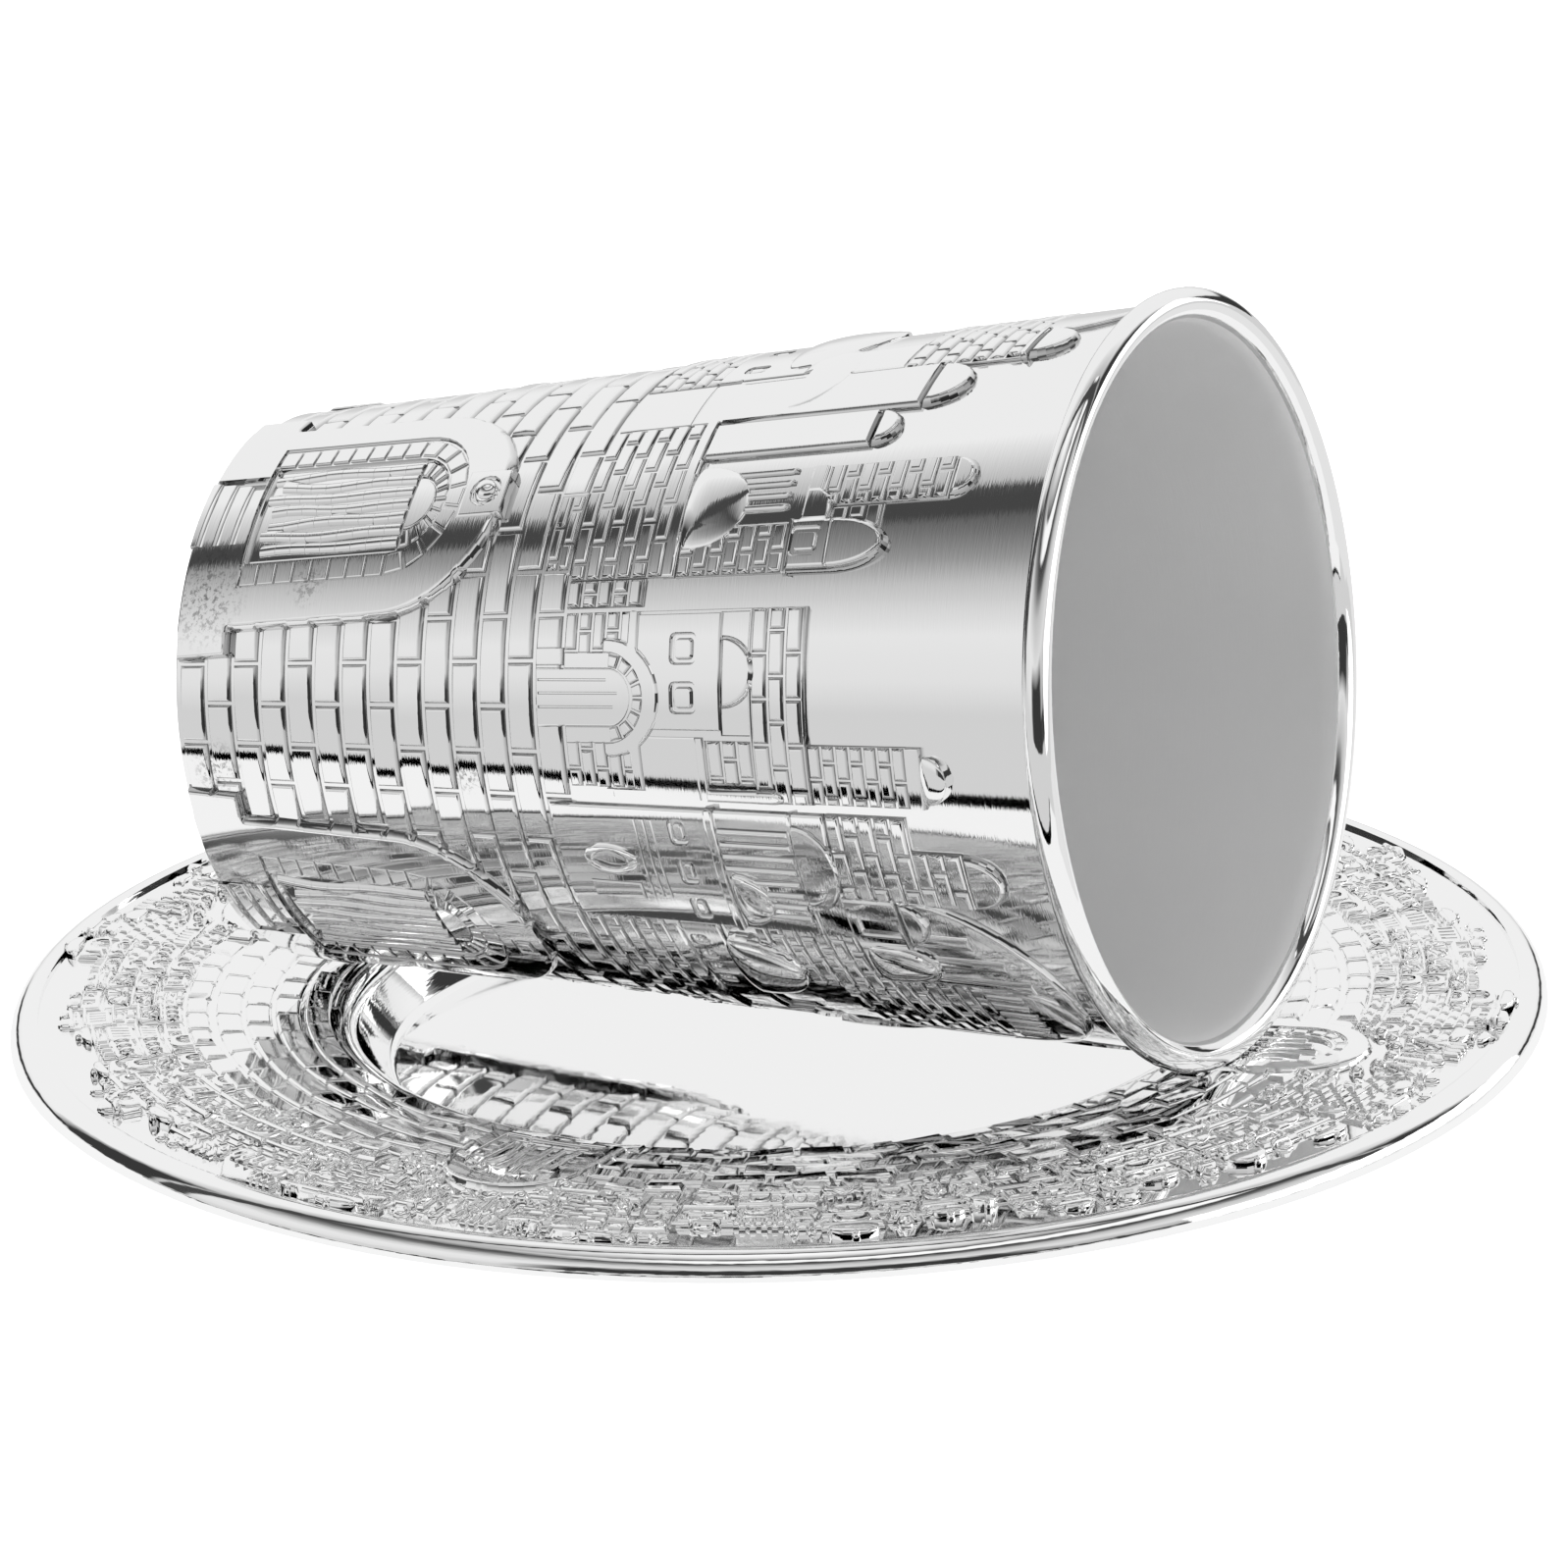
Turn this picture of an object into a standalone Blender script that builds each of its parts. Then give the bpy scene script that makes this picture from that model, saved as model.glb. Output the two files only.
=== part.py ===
"""Kiddush cup of plated silver, lying across its matching saucer.

The cup's wall and the saucer's ring carry one carving: courses of stone blocks,
four arched portals, and beyond them a skyline of houses, towers and domes.
Each piece is one closed solid: a turned body whose carved band is a height map.
"""

import math

import bmesh
import bpy
import numpy as np
from mathutils import Matrix, Vector
from mathutils.bvhtree import BVHTree
from mathutils.geometry import delaunay_2d_cdt

# Cup sizes, in metres
CUP_HEIGHT = 0.0874
BASE_RADIUS = 0.0234
NECK_RADIUS = 0.0313
LIP_RADIUS = 0.0331
LIP_HEIGHT = 0.0024
CUP_WALL = 0.0012
CUP_FLOOR = 0.0018
FLOOR_FILLET = 0.0036
BASE_ROUNDING = 0.0004
BASE_RING_WIDTH = 0.0026
BASE_RECESS = 0.0006

# Saucer sizes, in metres
SAUCER_RADIUS = 0.0675
SAUCER_HEIGHT = 0.0080
SAUCER_SHEET = 0.0011
WELL_RADIUS = 0.0332
WELL_FLOOR = 0.0012
SHOULDER_RADIUS = 0.0392
SHOULDER_DROP = 0.0015
RIM_WIDTH = 0.0025
RIM_SKIRT = 0.0024
PLAIN_BAND = 0.0005

# Heights of the carving above the bare wall, in metres
BLOCK_RISE = 0.00035
HOUSE_RISE = 0.00055
TOWER_RISE = 0.00066
DOME_RISE = 0.0011
PORTAL_RISE = 0.0011
FRAME_RISE = 0.0009
DOOR_RISE = 0.0004
RING_RISE_SHARE = 0.75

# Widths of the slopes that the carved forms climb over, in metres
SLOPE = 0.0003
PORTAL_SLOPE = 0.0008
DOME_SLOPE = 0.0030
JOINT_WIDTH = 0.0006

# Masonry: shares of the carved width, and angles in degrees
COURSES = 14
MASONRY_FOOT = 0.006
MASONRY_SHARE = 0.471
BLOCKS_ROUND = 22
FIRST_JOINT = 4.8
RING_COURSES = 4
RING_MASONRY_SHARE = 0.41
RING_BLOCKS_ROUND = 18

# Portals: angles in degrees
PORTALS = 4
FIRST_PORTAL = 38.0
FIRST_RING_PORTAL = -26.5

# Pose of the cup on the saucer
CUP_HEADING = -26.5
BASE_OFFSET = (-0.0407, 0.0175)
REST_GAP = 0.0003
SEAT_TRIES = 12

# Facets
CUP_SIDE_COUNT = 36
SAUCER_SIDE_COUNT = 40
BAND_ROW_COUNT = 2
ARCH_STEP_COUNT = 4

CARVED_WALL = CUP_HEIGHT - LIP_HEIGHT
RING_INNER = SHOULDER_RADIUS
RING_OUTER = SAUCER_RADIUS - RIM_WIDTH - PLAIN_BAND
RING_WIDTH = RING_OUTER - RING_INNER
MERGE_DISTANCE = 2e-6


def clear_scene():
    for old in list(bpy.data.objects):
        bpy.data.objects.remove(old)


def metal(name, colour, roughness):
    material = bpy.data.materials.new(name)
    material.use_nodes = True
    shader = material.node_tree.nodes["Principled BSDF"]
    shader.inputs["Base Color"].default_value = (*colour, 1.0)
    shader.inputs["Metallic"].default_value = 1.0
    shader.inputs["Roughness"].default_value = roughness
    return material


class Plate:
    """One flat-topped form of the carving, on the unrolled band.

    The outline is convex and runs counter-clockwise. The form climbs from its outline
    to its level over the width of its slope, straight or rounded like a dome.
    """

    def __init__(self, outline, level, slope, domed):
        self.outline = np.array(outline, float)
        self.level = level
        self.domed = domed
        along = np.roll(self.outline, -1, axis=0) - self.outline
        along /= np.linalg.norm(along, axis=1)[:, None]
        self.inward = np.stack([-along[:, 1], along[:, 0]], axis=1)
        self.offset = np.sum(self.inward * self.outline, axis=1)
        middle = self.outline.mean(axis=0)
        self.slope = min(slope, 0.9 * self.depth(middle[None])[0])
        self.low, self.high = self.outline.min(axis=0), self.outline.max(axis=0)

    def depth(self, points):
        """How far inside the outline each point lies."""
        return np.min(points @ self.inward.T - self.offset, axis=1)

    def climb(self, points):
        """From 0 at the outline to 1 on top."""
        share = np.clip(self.depth(points) / self.slope, 0.0, 1.0)
        return np.sqrt(1.0 - (1.0 - share) ** 2) if self.domed else share

    def ring(self, inset):
        """The outline moved inward: each corner where two moved sides meet."""
        corners = []
        for i in range(len(self.outline)):
            sides = self.inward[[i - 1, i]]
            places = self.offset[[i - 1, i]] + inset
            corners.append(np.linalg.solve(sides, places))
        return np.array(corners)

    def rings(self):
        shares = (0.0, 0.3, 1.0) if self.domed else (0.0, 1.0)
        return [self.ring(share * self.slope) for share in shares]


class Band:
    """A carved band laid out flat: x runs round in metres, y runs up or outward.

    Forms are placed by angles in degrees and by heights in hundredths of the band.
    """

    def __init__(self, middle_radius, width):
        self.turn = 2.0 * math.pi * middle_radius
        self.width = width
        self.plates = []

    def x(self, degrees):
        return degrees / 360.0 * self.turn

    def add(self, outline, level, slope, domed=False):
        """Adds a form wherever it shows in one turn of the band, whole or cut by its ends."""
        for shift in (-self.turn, 0.0, self.turn):
            moved = [(x + shift, y) for x, y in outline]
            if any(0.0 < x < self.turn for x, y in moved):
                self.plates.append(Plate(moved, level, slope, domed))

    def box(self, left, right, low, high, level, slope=SLOPE):
        x0, x1 = self.x(left), self.x(right)
        y0, y1 = low / 100.0 * self.width, high / 100.0 * self.width
        self.add([(x0, y0), (x1, y0), (x1, y1), (x0, y1)], level, slope)

    def arch(self, centre, width, low, high, level, slope=SLOPE, domed=False, steps=ARCH_STEP_COUNT):
        """A box with a round head, which is as tall as its half width if there is room."""
        half = self.x(width / 2.0)
        middle = self.x(centre)
        y0, y1 = low / 100.0 * self.width, high / 100.0 * self.width
        rise = min(half, y1 - y0)
        spring = y1 - rise
        outline = []
        if spring > y0 + SLOPE:
            outline += [(middle - half, y0), (middle + half, y0)]
        for i in range(steps + 1):
            angle = math.pi * i / steps
            outline.append((middle + half * math.cos(angle), spring + rise * math.sin(angle)))
        self.add(outline, level, slope, domed)

    def dome(self, centre, width, low, high, level):
        self.arch(centre, width, low, high, level, DOME_SLOPE, True)

    def course(self, low, high, count, first_joint, level):
        """One course of equal blocks round the band."""
        length = 360.0 / count
        for i in range(count):
            left = first_joint + i * length
            self.box(left, left + length, low, high, level, JOINT_WIDTH / 2.0)

    def masonry(self, courses, low, high, count, first_joint, level):
        """Courses of blocks, each with its joints half a block on from the last."""
        step = (high - low) / courses
        for row in range(courses):
            joint = first_joint + (row % 2) * 180.0 / count
            self.course(low + row * step, low + (row + 1) * step, count, joint, level)

    def heights(self, points):
        """Height of the carving at each point: later forms lie over earlier ones."""
        height = np.zeros(len(points))
        for plate in self.plates:
            near = np.all((points >= plate.low) & (points <= plate.high), axis=1)
            if near.any():
                climb = plate.climb(points[near])
                height[near] += climb * (plate.level - height[near])
        return height

    def hidden(self, index, points):
        """Which of these points of one form a later form wholly covers."""
        covered = np.zeros(len(points), bool)
        points = np.stack([points[:, 0] % self.turn, points[:, 1]], axis=1)
        low, high = points.min(axis=0), points.max(axis=0)
        for plate in self.plates[index + 1:]:
            if plate.low[0] < high[0] and plate.high[0] > low[0]:
                if plate.low[1] < high[1] and plate.high[1] > low[1]:
                    covered |= plate.depth(points) > plate.slope * 1.001
        return covered

    def grid(self, sides, rows):
        """Points of a plain grid over the band, and the edges of its border."""
        points, edges = [], []
        for j in range(rows + 1):
            on_border = j in (0, rows)
            for i in range(sides + 1):
                if on_border or 0 < i < sides:
                    points.append((self.turn * i / sides, self.width * j / rows))
                if on_border and i > 0:
                    edges.append((len(points) - 2, len(points) - 1))
        first_top = len(points) - sides - 1
        edges += [(0, first_top), (sides, len(points) - 1)]
        return points, edges

    def mesh(self, sides, rows):
        """Triangulates one turn of the band. Returns flat points and triangles."""
        points, edges = self.grid(sides, rows)
        for index, plate in enumerate(self.plates):
            for ring in plate.rings():
                following = np.roll(ring, -1, axis=0)
                covered = self.hidden(index, (ring + following) / 2.0)
                for a, b in zip(ring[~covered], following[~covered]):
                    edges.append((len(points), len(points) + 1))
                    points += [tuple(a), tuple(b)]
        flat = [Vector((x / self.turn, y / self.turn)) for x, y in points]
        found, _, faces, _, _, _ = delaunay_2d_cdt(flat, edges, [], 0, 1e-6)
        spots = np.array([(v.x, v.y) for v in found]) * self.turn
        kept = []
        for face in faces:
            middle = spots[list(face)].mean(axis=0)
            if 0.0 < middle[0] < self.turn and 0.0 < middle[1] < self.width:
                kept.append(face)
        for border in (0.0, self.width):
            near = abs(spots[:, 1] - border) < MERGE_DISTANCE
            spots[near, 1] = border
        return spots, kept


def turned_rows(body, profile, sides):
    """Adds rings of points, one for each (radius, height) of a turned profile."""
    rows = []
    for radius, height in profile:
        ring = []
        for i in range(sides):
            angle = 2.0 * math.pi * i / sides
            ring.append(body.verts.new((radius * math.cos(angle), radius * math.sin(angle), height)))
        rows.append(ring)
    return rows


def join_rows(body, rows):
    """Faces between the rings of a turned profile, closed by a disc at its end."""
    for lower, upper in zip(rows, rows[1:]):
        for i in range(len(lower)):
            j = (i + 1) % len(lower)
            body.faces.new((lower[i], lower[j], upper[j], upper[i]))
    body.faces.new(rows[-1])


def arc(centre, radii, start, end, steps):
    """Points along part of an ellipse, from start to end in degrees."""
    points = []
    for i in range(steps + 1):
        angle = math.radians(start + (end - start) * i / steps)
        points.append((centre[0] + radii[0] * math.cos(angle), centre[1] + radii[1] * math.sin(angle)))
    return points


def carved_faces(body, band, sides, place):
    """Lays the band's triangles on the turned surface that place() gives."""
    spots, faces = band.mesh(sides, BAND_ROW_COUNT)
    heights = band.heights(spots)
    heights[(spots[:, 1] <= 0.0) | (spots[:, 1] >= band.width)] = 0.0
    angles = spots[:, 0] / band.turn * 2.0 * math.pi
    verts = [body.verts.new(place(*spot)) for spot in zip(angles, spots[:, 1], heights)]
    for a, b, c in faces:
        body.faces.new((verts[a], verts[b], verts[c]))


def finish_solid(name, body, material):
    """Welds the band to the turned rows and makes the object."""
    bmesh.ops.remove_doubles(body, verts=body.verts, dist=MERGE_DISTANCE)
    loose = [v for v in body.verts if not v.link_faces]
    bmesh.ops.delete(body, geom=loose, context="VERTS")
    bmesh.ops.recalc_face_normals(body, faces=body.faces)
    mesh = bpy.data.meshes.new(name)
    body.to_mesh(mesh)
    body.free()
    mesh.materials.append(material)
    mesh.shade_smooth()
    mesh.set_sharp_from_angle(angle=math.radians(25.0))
    solid = bpy.data.objects.new(name, mesh)
    bpy.context.scene.collection.objects.link(solid)
    return solid


def wall_radius(height):
    """Outer radius of the cup's bare wall at a height above its base."""
    return BASE_RADIUS + (NECK_RADIUS - BASE_RADIUS) * height / CARVED_WALL


def cup_portal(band, centre):
    """An arched portal: a raised plate with a broad foot, a sunk door, and steps."""
    foot, door_foot = 1.0, 7.2
    band.box(centre - 31.0, centre + 31.0, foot, door_foot, PORTAL_RISE)
    band.arch(centre, 50.0, foot, 38.0, PORTAL_RISE, PORTAL_SLOPE, steps=8)
    band.box(centre - 5.0, centre + 5.0, 33.4, 38.4, DOME_RISE * 1.15)
    band.arch(centre, 32.0, door_foot, 33.0, FRAME_RISE, steps=6)
    band.arch(centre, 22.8, door_foot, 30.0, DOOR_RISE)
    steps = 3
    rise = (door_foot - foot) / steps
    for step in range(steps):
        level = PORTAL_RISE * (0.8 - 0.25 * step)
        band.box(centre - 8.0, centre + 8.0, foot + rise * step, door_foot, level)


def upper_town(band, turned):
    """The far rows of the skyline over half the cup's turn: towers against the sky."""
    band.arch(turned + 134, 48, 72, 96.5, HOUSE_RISE * 0.8, steps=6)
    band.arch(turned + 8.5, 10.5, 58, 94.5, HOUSE_RISE)
    band.dome(turned - 7, 32, 61.5, 71.5, DOME_RISE)
    band.arch(turned + 19.3, 11.5, 58, 86.5, TOWER_RISE)
    band.arch(turned + 29.4, 8.2, 58, 81.0, TOWER_RISE)
    band.arch(turned + 41, 8, 58, 91.8, TOWER_RISE)
    band.arch(turned + 52, 9.3, 58, 83.2, TOWER_RISE)
    band.arch(turned + 89.2, 10, 62, 90.5, TOWER_RISE)
    band.arch(turned + 106.4, 10.3, 62, 94.8, TOWER_RISE)
    band.arch(turned + 120.2, 19, 62, 84.5, TOWER_RISE)
    band.arch(turned + 138.5, 17, 62, 96.0, TOWER_RISE)


def lower_town(band, turned):
    """The near rows of the skyline: walls, houses with arched doors, and low domes."""
    band.box(turned + 5, turned + 61, 47.2, 59.3, HOUSE_RISE)
    band.dome(turned + 43.8, 16, 59, 66.4, DOME_RISE)
    band.box(turned + 61.9, turned + 94.3, 47.2, 75.2, HOUSE_RISE)
    band.box(turned + 62.6, turned + 82.1, 56, 65.7, TOWER_RISE * 1.2)
    band.dome(turned + 72.6, 15, 65.7, 70.0, DOME_RISE)
    band.arch(turned + 76.8, 24, 43.5, 59.0, TOWER_RISE * 1.3)
    band.arch(turned + 76.8, 9.6, 44.2, 55.3, DOOR_RISE * 0.6)
    band.box(turned + 95.7, turned + 150, 47.2, 72, HOUSE_RISE)
    band.box(turned + 95.7, turned + 119.3, 47.2, 63, TOWER_RISE * 1.2)
    band.arch(turned + 106.3, 17, 63, 76.3, TOWER_RISE * 1.2)
    band.dome(turned + 130, 17, 59, 67.5, DOME_RISE)
    band.arch(turned + 106.3, 6.6, 47.2, 53.5, DOOR_RISE)


def build_cup(material):
    """The conical cup: carved wall, rolled lip, smooth inside and recessed foot."""
    start = BASE_ROUNDING
    band = Band((BASE_RADIUS + NECK_RADIUS) / 2.0, CARVED_WALL - start)
    low, high = MASONRY_FOOT * 100.0, MASONRY_SHARE * 100.0
    band.masonry(COURSES, low, high, BLOCKS_ROUND, FIRST_JOINT, BLOCK_RISE)
    for turned in (0.0, 180.0):
        upper_town(band, turned)
        lower_town(band, turned)
    for i in range(PORTALS):
        cup_portal(band, FIRST_PORTAL + i * 360.0 / PORTALS)

    def place(angle, height, carved):
        radius = wall_radius(start + height) + carved
        return (radius * math.cos(angle), radius * math.sin(angle), start + height)

    body = bmesh.new()
    carved_faces(body, band, CUP_SIDE_COUNT, place)
    wall_top = CARVED_WALL
    mouth = wall_radius(wall_top) - CUP_WALL
    lip_half = (LIP_RADIUS - mouth) / 2.0
    lip_centre = (LIP_RADIUS - lip_half, CUP_HEIGHT - LIP_HEIGHT / 2.0)
    floor_radius = wall_radius(CUP_FLOOR) - CUP_WALL
    fillet_centre = (floor_radius - FLOOR_FILLET, CUP_FLOOR + FLOOR_FILLET)
    upper = [(wall_radius(wall_top), wall_top)]
    upper += arc(lip_centre, (lip_half, LIP_HEIGHT / 2.0), -40, 180, 5)
    upper += arc(fillet_centre, (FLOOR_FILLET, FLOOR_FILLET), 0, -90, 2)
    join_rows(body, turned_rows(body, upper, CUP_SIDE_COUNT))

    base = wall_radius(start)
    foot_ring = base - BASE_RING_WIDTH
    lower = [(base, start), (base - BASE_ROUNDING, 0.0), (foot_ring, 0.0)]
    lower.append((foot_ring - BASE_RECESS, BASE_RECESS))
    join_rows(body, turned_rows(body, lower, CUP_SIDE_COUNT))
    return finish_solid("cup", body, material)


def ring_height(radius):
    """Height of the saucer's bare ring: it climbs outward and levels off near the rim."""
    share = min(max((radius - RING_INNER) / RING_WIDTH, 0.0), 1.0)
    bare_rim = SAUCER_HEIGHT - SAUCER_SHEET * 0.4
    return bare_rim - SHOULDER_DROP * (1.0 - share) ** 2


def ring_portal(band, centre):
    band.arch(centre, 17.0, 9, 64, PORTAL_RISE * RING_RISE_SHARE, SLOPE * 2.0, steps=6)
    band.arch(centre, 10.4, 18, 55, DOOR_RISE * RING_RISE_SHARE)


def ring_town(band, turned):
    """Houses, towers and domes over a quarter of the saucer's ring, pointing outward."""
    house = HOUSE_RISE * RING_RISE_SHARE
    tower = TOWER_RISE * RING_RISE_SHARE
    dome = DOME_RISE * RING_RISE_SHARE
    band.box(turned + 8, turned + 82, 41, 64, house)
    band.arch(turned + 14, 8, 64, 97, tower)
    band.box(turned + 22, turned + 34, 64, 86, house)
    band.dome(turned + 33, 12, 55, 74, dome)
    band.arch(turned + 44, 9, 64, 98, tower)
    band.arch(turned + 58, 13, 64, 84, house)
    band.arch(turned + 76, 8, 64, 96, tower)


def build_saucer(material):
    """The round saucer: flat well, smooth shoulder, carved ring and rolled rim."""
    band = Band((RING_INNER + RING_OUTER) / 2.0, RING_WIDTH)
    course_width = RING_MASONRY_SHARE * 100.0
    band.masonry(RING_COURSES, 1.0, course_width, RING_BLOCKS_ROUND, 0.0, BLOCK_RISE * RING_RISE_SHARE)
    for i in range(PORTALS):
        ring_town(band, FIRST_RING_PORTAL + i * 360.0 / PORTALS)
    for i in range(PORTALS):
        ring_portal(band, FIRST_RING_PORTAL + i * 360.0 / PORTALS)

    def place(angle, along, carved):
        radius = RING_INNER + along
        return (radius * math.cos(angle), radius * math.sin(angle), ring_height(radius) + carved)

    body = bmesh.new()
    carved_faces(body, band, SAUCER_SIDE_COUNT, place)
    sheet = SAUCER_SHEET
    wall_run = SHOULDER_RADIUS - WELL_RADIUS
    rim_round = RIM_WIDTH / 2.0
    rim_centre = (SAUCER_RADIUS - rim_round, SAUCER_HEIGHT - rim_round)
    rim_foot = SAUCER_HEIGHT - RIM_SKIRT
    outer_height, inner_height = ring_height(RING_OUTER), ring_height(RING_INNER)

    outer = [(RING_OUTER, outer_height)]
    outer += arc(rim_centre, (rim_round, rim_round), 140, 0, 4)
    outer += [(SAUCER_RADIUS, rim_foot), (SAUCER_RADIUS - sheet, rim_foot)]
    outer.append((SAUCER_RADIUS - RIM_WIDTH, outer_height - sheet))
    outer.append((RING_INNER + sheet, inner_height - sheet))
    outer.append((WELL_RADIUS + sheet + wall_run * 0.1, sheet * 0.3))
    outer.append((WELL_RADIUS + sheet * 0.5, 0.0))
    join_rows(body, turned_rows(body, outer, SAUCER_SIDE_COUNT))

    inner = [(RING_INNER, inner_height), (SHOULDER_RADIUS - wall_run * 0.3, inner_height - sheet * 0.5)]
    inner.append((WELL_RADIUS + wall_run * 0.12, WELL_FLOOR + sheet * 0.4))
    inner.append((WELL_RADIUS, WELL_FLOOR))
    join_rows(body, turned_rows(body, inner, SAUCER_SIDE_COUNT))
    return finish_solid("saucer", body, material)


def cup_axes(rise):
    """The cup's own axes when its mouth end is lifted by an angle, as matrix columns."""
    heading = math.radians(CUP_HEADING)
    level = math.cos(rise)
    axis = Vector((level * math.cos(heading), level * math.sin(heading), math.sin(rise)))
    side = Vector((0.0, 0.0, 1.0)).cross(axis).normalized()
    return Matrix((axis.cross(side), -side, axis)).transposed()


def surface_tree(solid):
    """The solid's surface in a form that rays can be cast at."""
    body = bmesh.new()
    body.from_mesh(solid.data)
    tree = BVHTree.FromBMesh(body)
    body.free()
    return tree


class Seat:
    """Measures how high the cup lies over the saucer in a pose."""

    def __init__(self, cup, saucer):
        self.cup_points = [vert.co.copy() for vert in cup.data.vertices]
        self.saucer_points = [vert.co.copy() for vert in saucer.data.vertices]
        self.cup_tree, self.saucer_tree = surface_tree(cup), surface_tree(saucer)

    def gaps(self, rotation, origin):
        """Least height over the saucer of the cup's base half and of its mouth half."""
        least = [math.inf, math.inf]
        up = Vector((0.0, 0.0, 1.0))
        for point in self.cup_points:
            place = origin + rotation @ point
            hit = self.saucer_tree.ray_cast(place + up * CUP_HEIGHT, -up)[0]
            if hit:
                half = int(point.z > CUP_HEIGHT / 2.0)
                least[half] = min(least[half], place.z - hit.z)
        turned_back = rotation.transposed()
        for point in self.saucer_points:
            start = turned_back @ (point - up * CUP_HEIGHT - origin)
            hit = self.cup_tree.ray_cast(start, turned_back @ up)[0]
            if hit:
                half = int(hit.z > CUP_HEIGHT / 2.0)
                least[half] = min(least[half], (hit - start).length - CUP_HEIGHT)
        return least


def seat_cup(cup, saucer):
    """Lays the cup on the saucer's ring: its base half and its mouth half both come to rest."""
    seat = Seat(cup, saucer)
    rise, height = 0.1, SAUCER_HEIGHT + BASE_RADIUS
    for _ in range(SEAT_TRIES):
        rotation = cup_axes(rise)
        base_gap, mouth_gap = seat.gaps(rotation, Vector((*BASE_OFFSET, height)))
        height -= base_gap - REST_GAP
        rise -= (mouth_gap - base_gap) / CUP_HEIGHT
    cup.location = (*BASE_OFFSET, height)
    cup.rotation_mode = "QUATERNION"
    cup.rotation_quaternion = cup_axes(rise).to_quaternion()


def main():
    clear_scene()
    cup = build_cup(metal("cup_silver", (0.80, 0.79, 0.77), 0.12))
    saucer = build_saucer(metal("saucer_silver", (0.78, 0.77, 0.75), 0.12))
    seat_cup(cup, saucer)


main()
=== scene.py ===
"""Looks of a silver-plated kiddush cup that lies across its matching saucer.

The relief of both pieces is built from convex forms, painted one over the other on
an unrolled band. The band's own height and slope give the mesh its corner normals.
"""

import math

import bpy
import numpy as np
from mathutils import Matrix, Vector
from mathutils.geometry import delaunay_2d_cdt


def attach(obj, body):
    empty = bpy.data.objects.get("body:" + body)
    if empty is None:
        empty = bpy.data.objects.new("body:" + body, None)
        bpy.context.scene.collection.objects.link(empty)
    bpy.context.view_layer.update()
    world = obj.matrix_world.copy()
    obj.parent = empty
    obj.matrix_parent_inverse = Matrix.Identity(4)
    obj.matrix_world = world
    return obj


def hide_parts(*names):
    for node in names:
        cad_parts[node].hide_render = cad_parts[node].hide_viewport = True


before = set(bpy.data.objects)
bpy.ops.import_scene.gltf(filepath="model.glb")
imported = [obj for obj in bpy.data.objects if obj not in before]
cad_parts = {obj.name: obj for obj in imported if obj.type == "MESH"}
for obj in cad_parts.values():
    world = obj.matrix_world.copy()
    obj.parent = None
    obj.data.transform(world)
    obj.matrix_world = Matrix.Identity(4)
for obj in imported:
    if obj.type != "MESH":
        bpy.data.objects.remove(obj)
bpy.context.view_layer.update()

MM = 0.001

# Cup, in millimetres, along its own axis from the foot
FOOT_RADIUS = 23.4
NECK_RADIUS = 31.3
NECK_HEIGHT = 85.0
LIP_MIDDLE = (31.75, 86.2)
LIP_SIZE = (1.32, 1.2)
WALL = 1.2
FLOOR = 1.8
FLOOR_BEND = 3.6
CUP_PLACE = (-40.7, 17.5, 30.87)
CUP_HEADING = -26.5
CUP_RISE = 6.26

# Saucer, in millimetres
SAUCER_RADIUS = 67.5
SAUCER_HEIGHT = 8.0
SHEET = 1.1
WELL_RADIUS = 33.2
WELL_FLOOR = 1.2
SHOULDER_RADIUS = 39.2
SHOULDER_DROP = 1.5
RIM_WIDTH = 2.5
RIM_SKIRT = 2.4
RING_OUTER = 64.5
RING_WIDTH = RING_OUTER - SHOULDER_RADIUS
RING_TOP = 7.56

# Carving, in degrees round a piece and millimetres across its band
PERIOD = 180.0
BAND_FOOT = 0.2
BAND_HEAD = 65.6
SEAM = 0.37
PORTAL_AT = 38.0
RING_PORTAL_AT = -26.5
RING_LEAN = 0.07
# (Courses, foot, height of one, blocks round, first joints of every other course, most lean)
CUP_BLOCKS = (14, 0.45, 2.843, 22, (4.84, 13.0), 0.032)
RING_BLOCKS = (4, 39.3, 2.58, 60, (RING_PORTAL_AT - 1.9, RING_PORTAL_AT + 1.1), RING_LEAN)
BLOCK_LEVEL = 0.42
TOWN_FOOT = 52.3
TOWN_START, TOWN_END = 5.5, 85.0
CELL_KINDS = ("bricks", "slots", "arch", "shell", "beads", "panes", "bricks", "arch")
ROOF_KINDS = ("dome", "tower", "pair", "comb", "dome")
SKYLINE = ((0, 60.5), (6, 64), (16, 65), (20, 61), (26, 62), (31, 64), (36, 62), (41, 60.6), (46, 62.4),
           (52, 64.7), (57, 61.5), (62, 63.5), (70, 62), (74, 64.5), (82, 65), (90, 60.5))

# Gaps, margins and edge widths in millimetres, and leans as rise over run
JOINT = 0.3
BRICK_BED = 0.34
BRICK_END = 0.17
SHORTEST_BRICK = 0.5
PANE_MARGIN = 0.42
EDGE = 0.26
BRICK_EDGE = 0.3
BLOCK_EDGE = 0.34
TILE_EDGE = 0.22
BRICK_LEAN = 0.02

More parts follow.
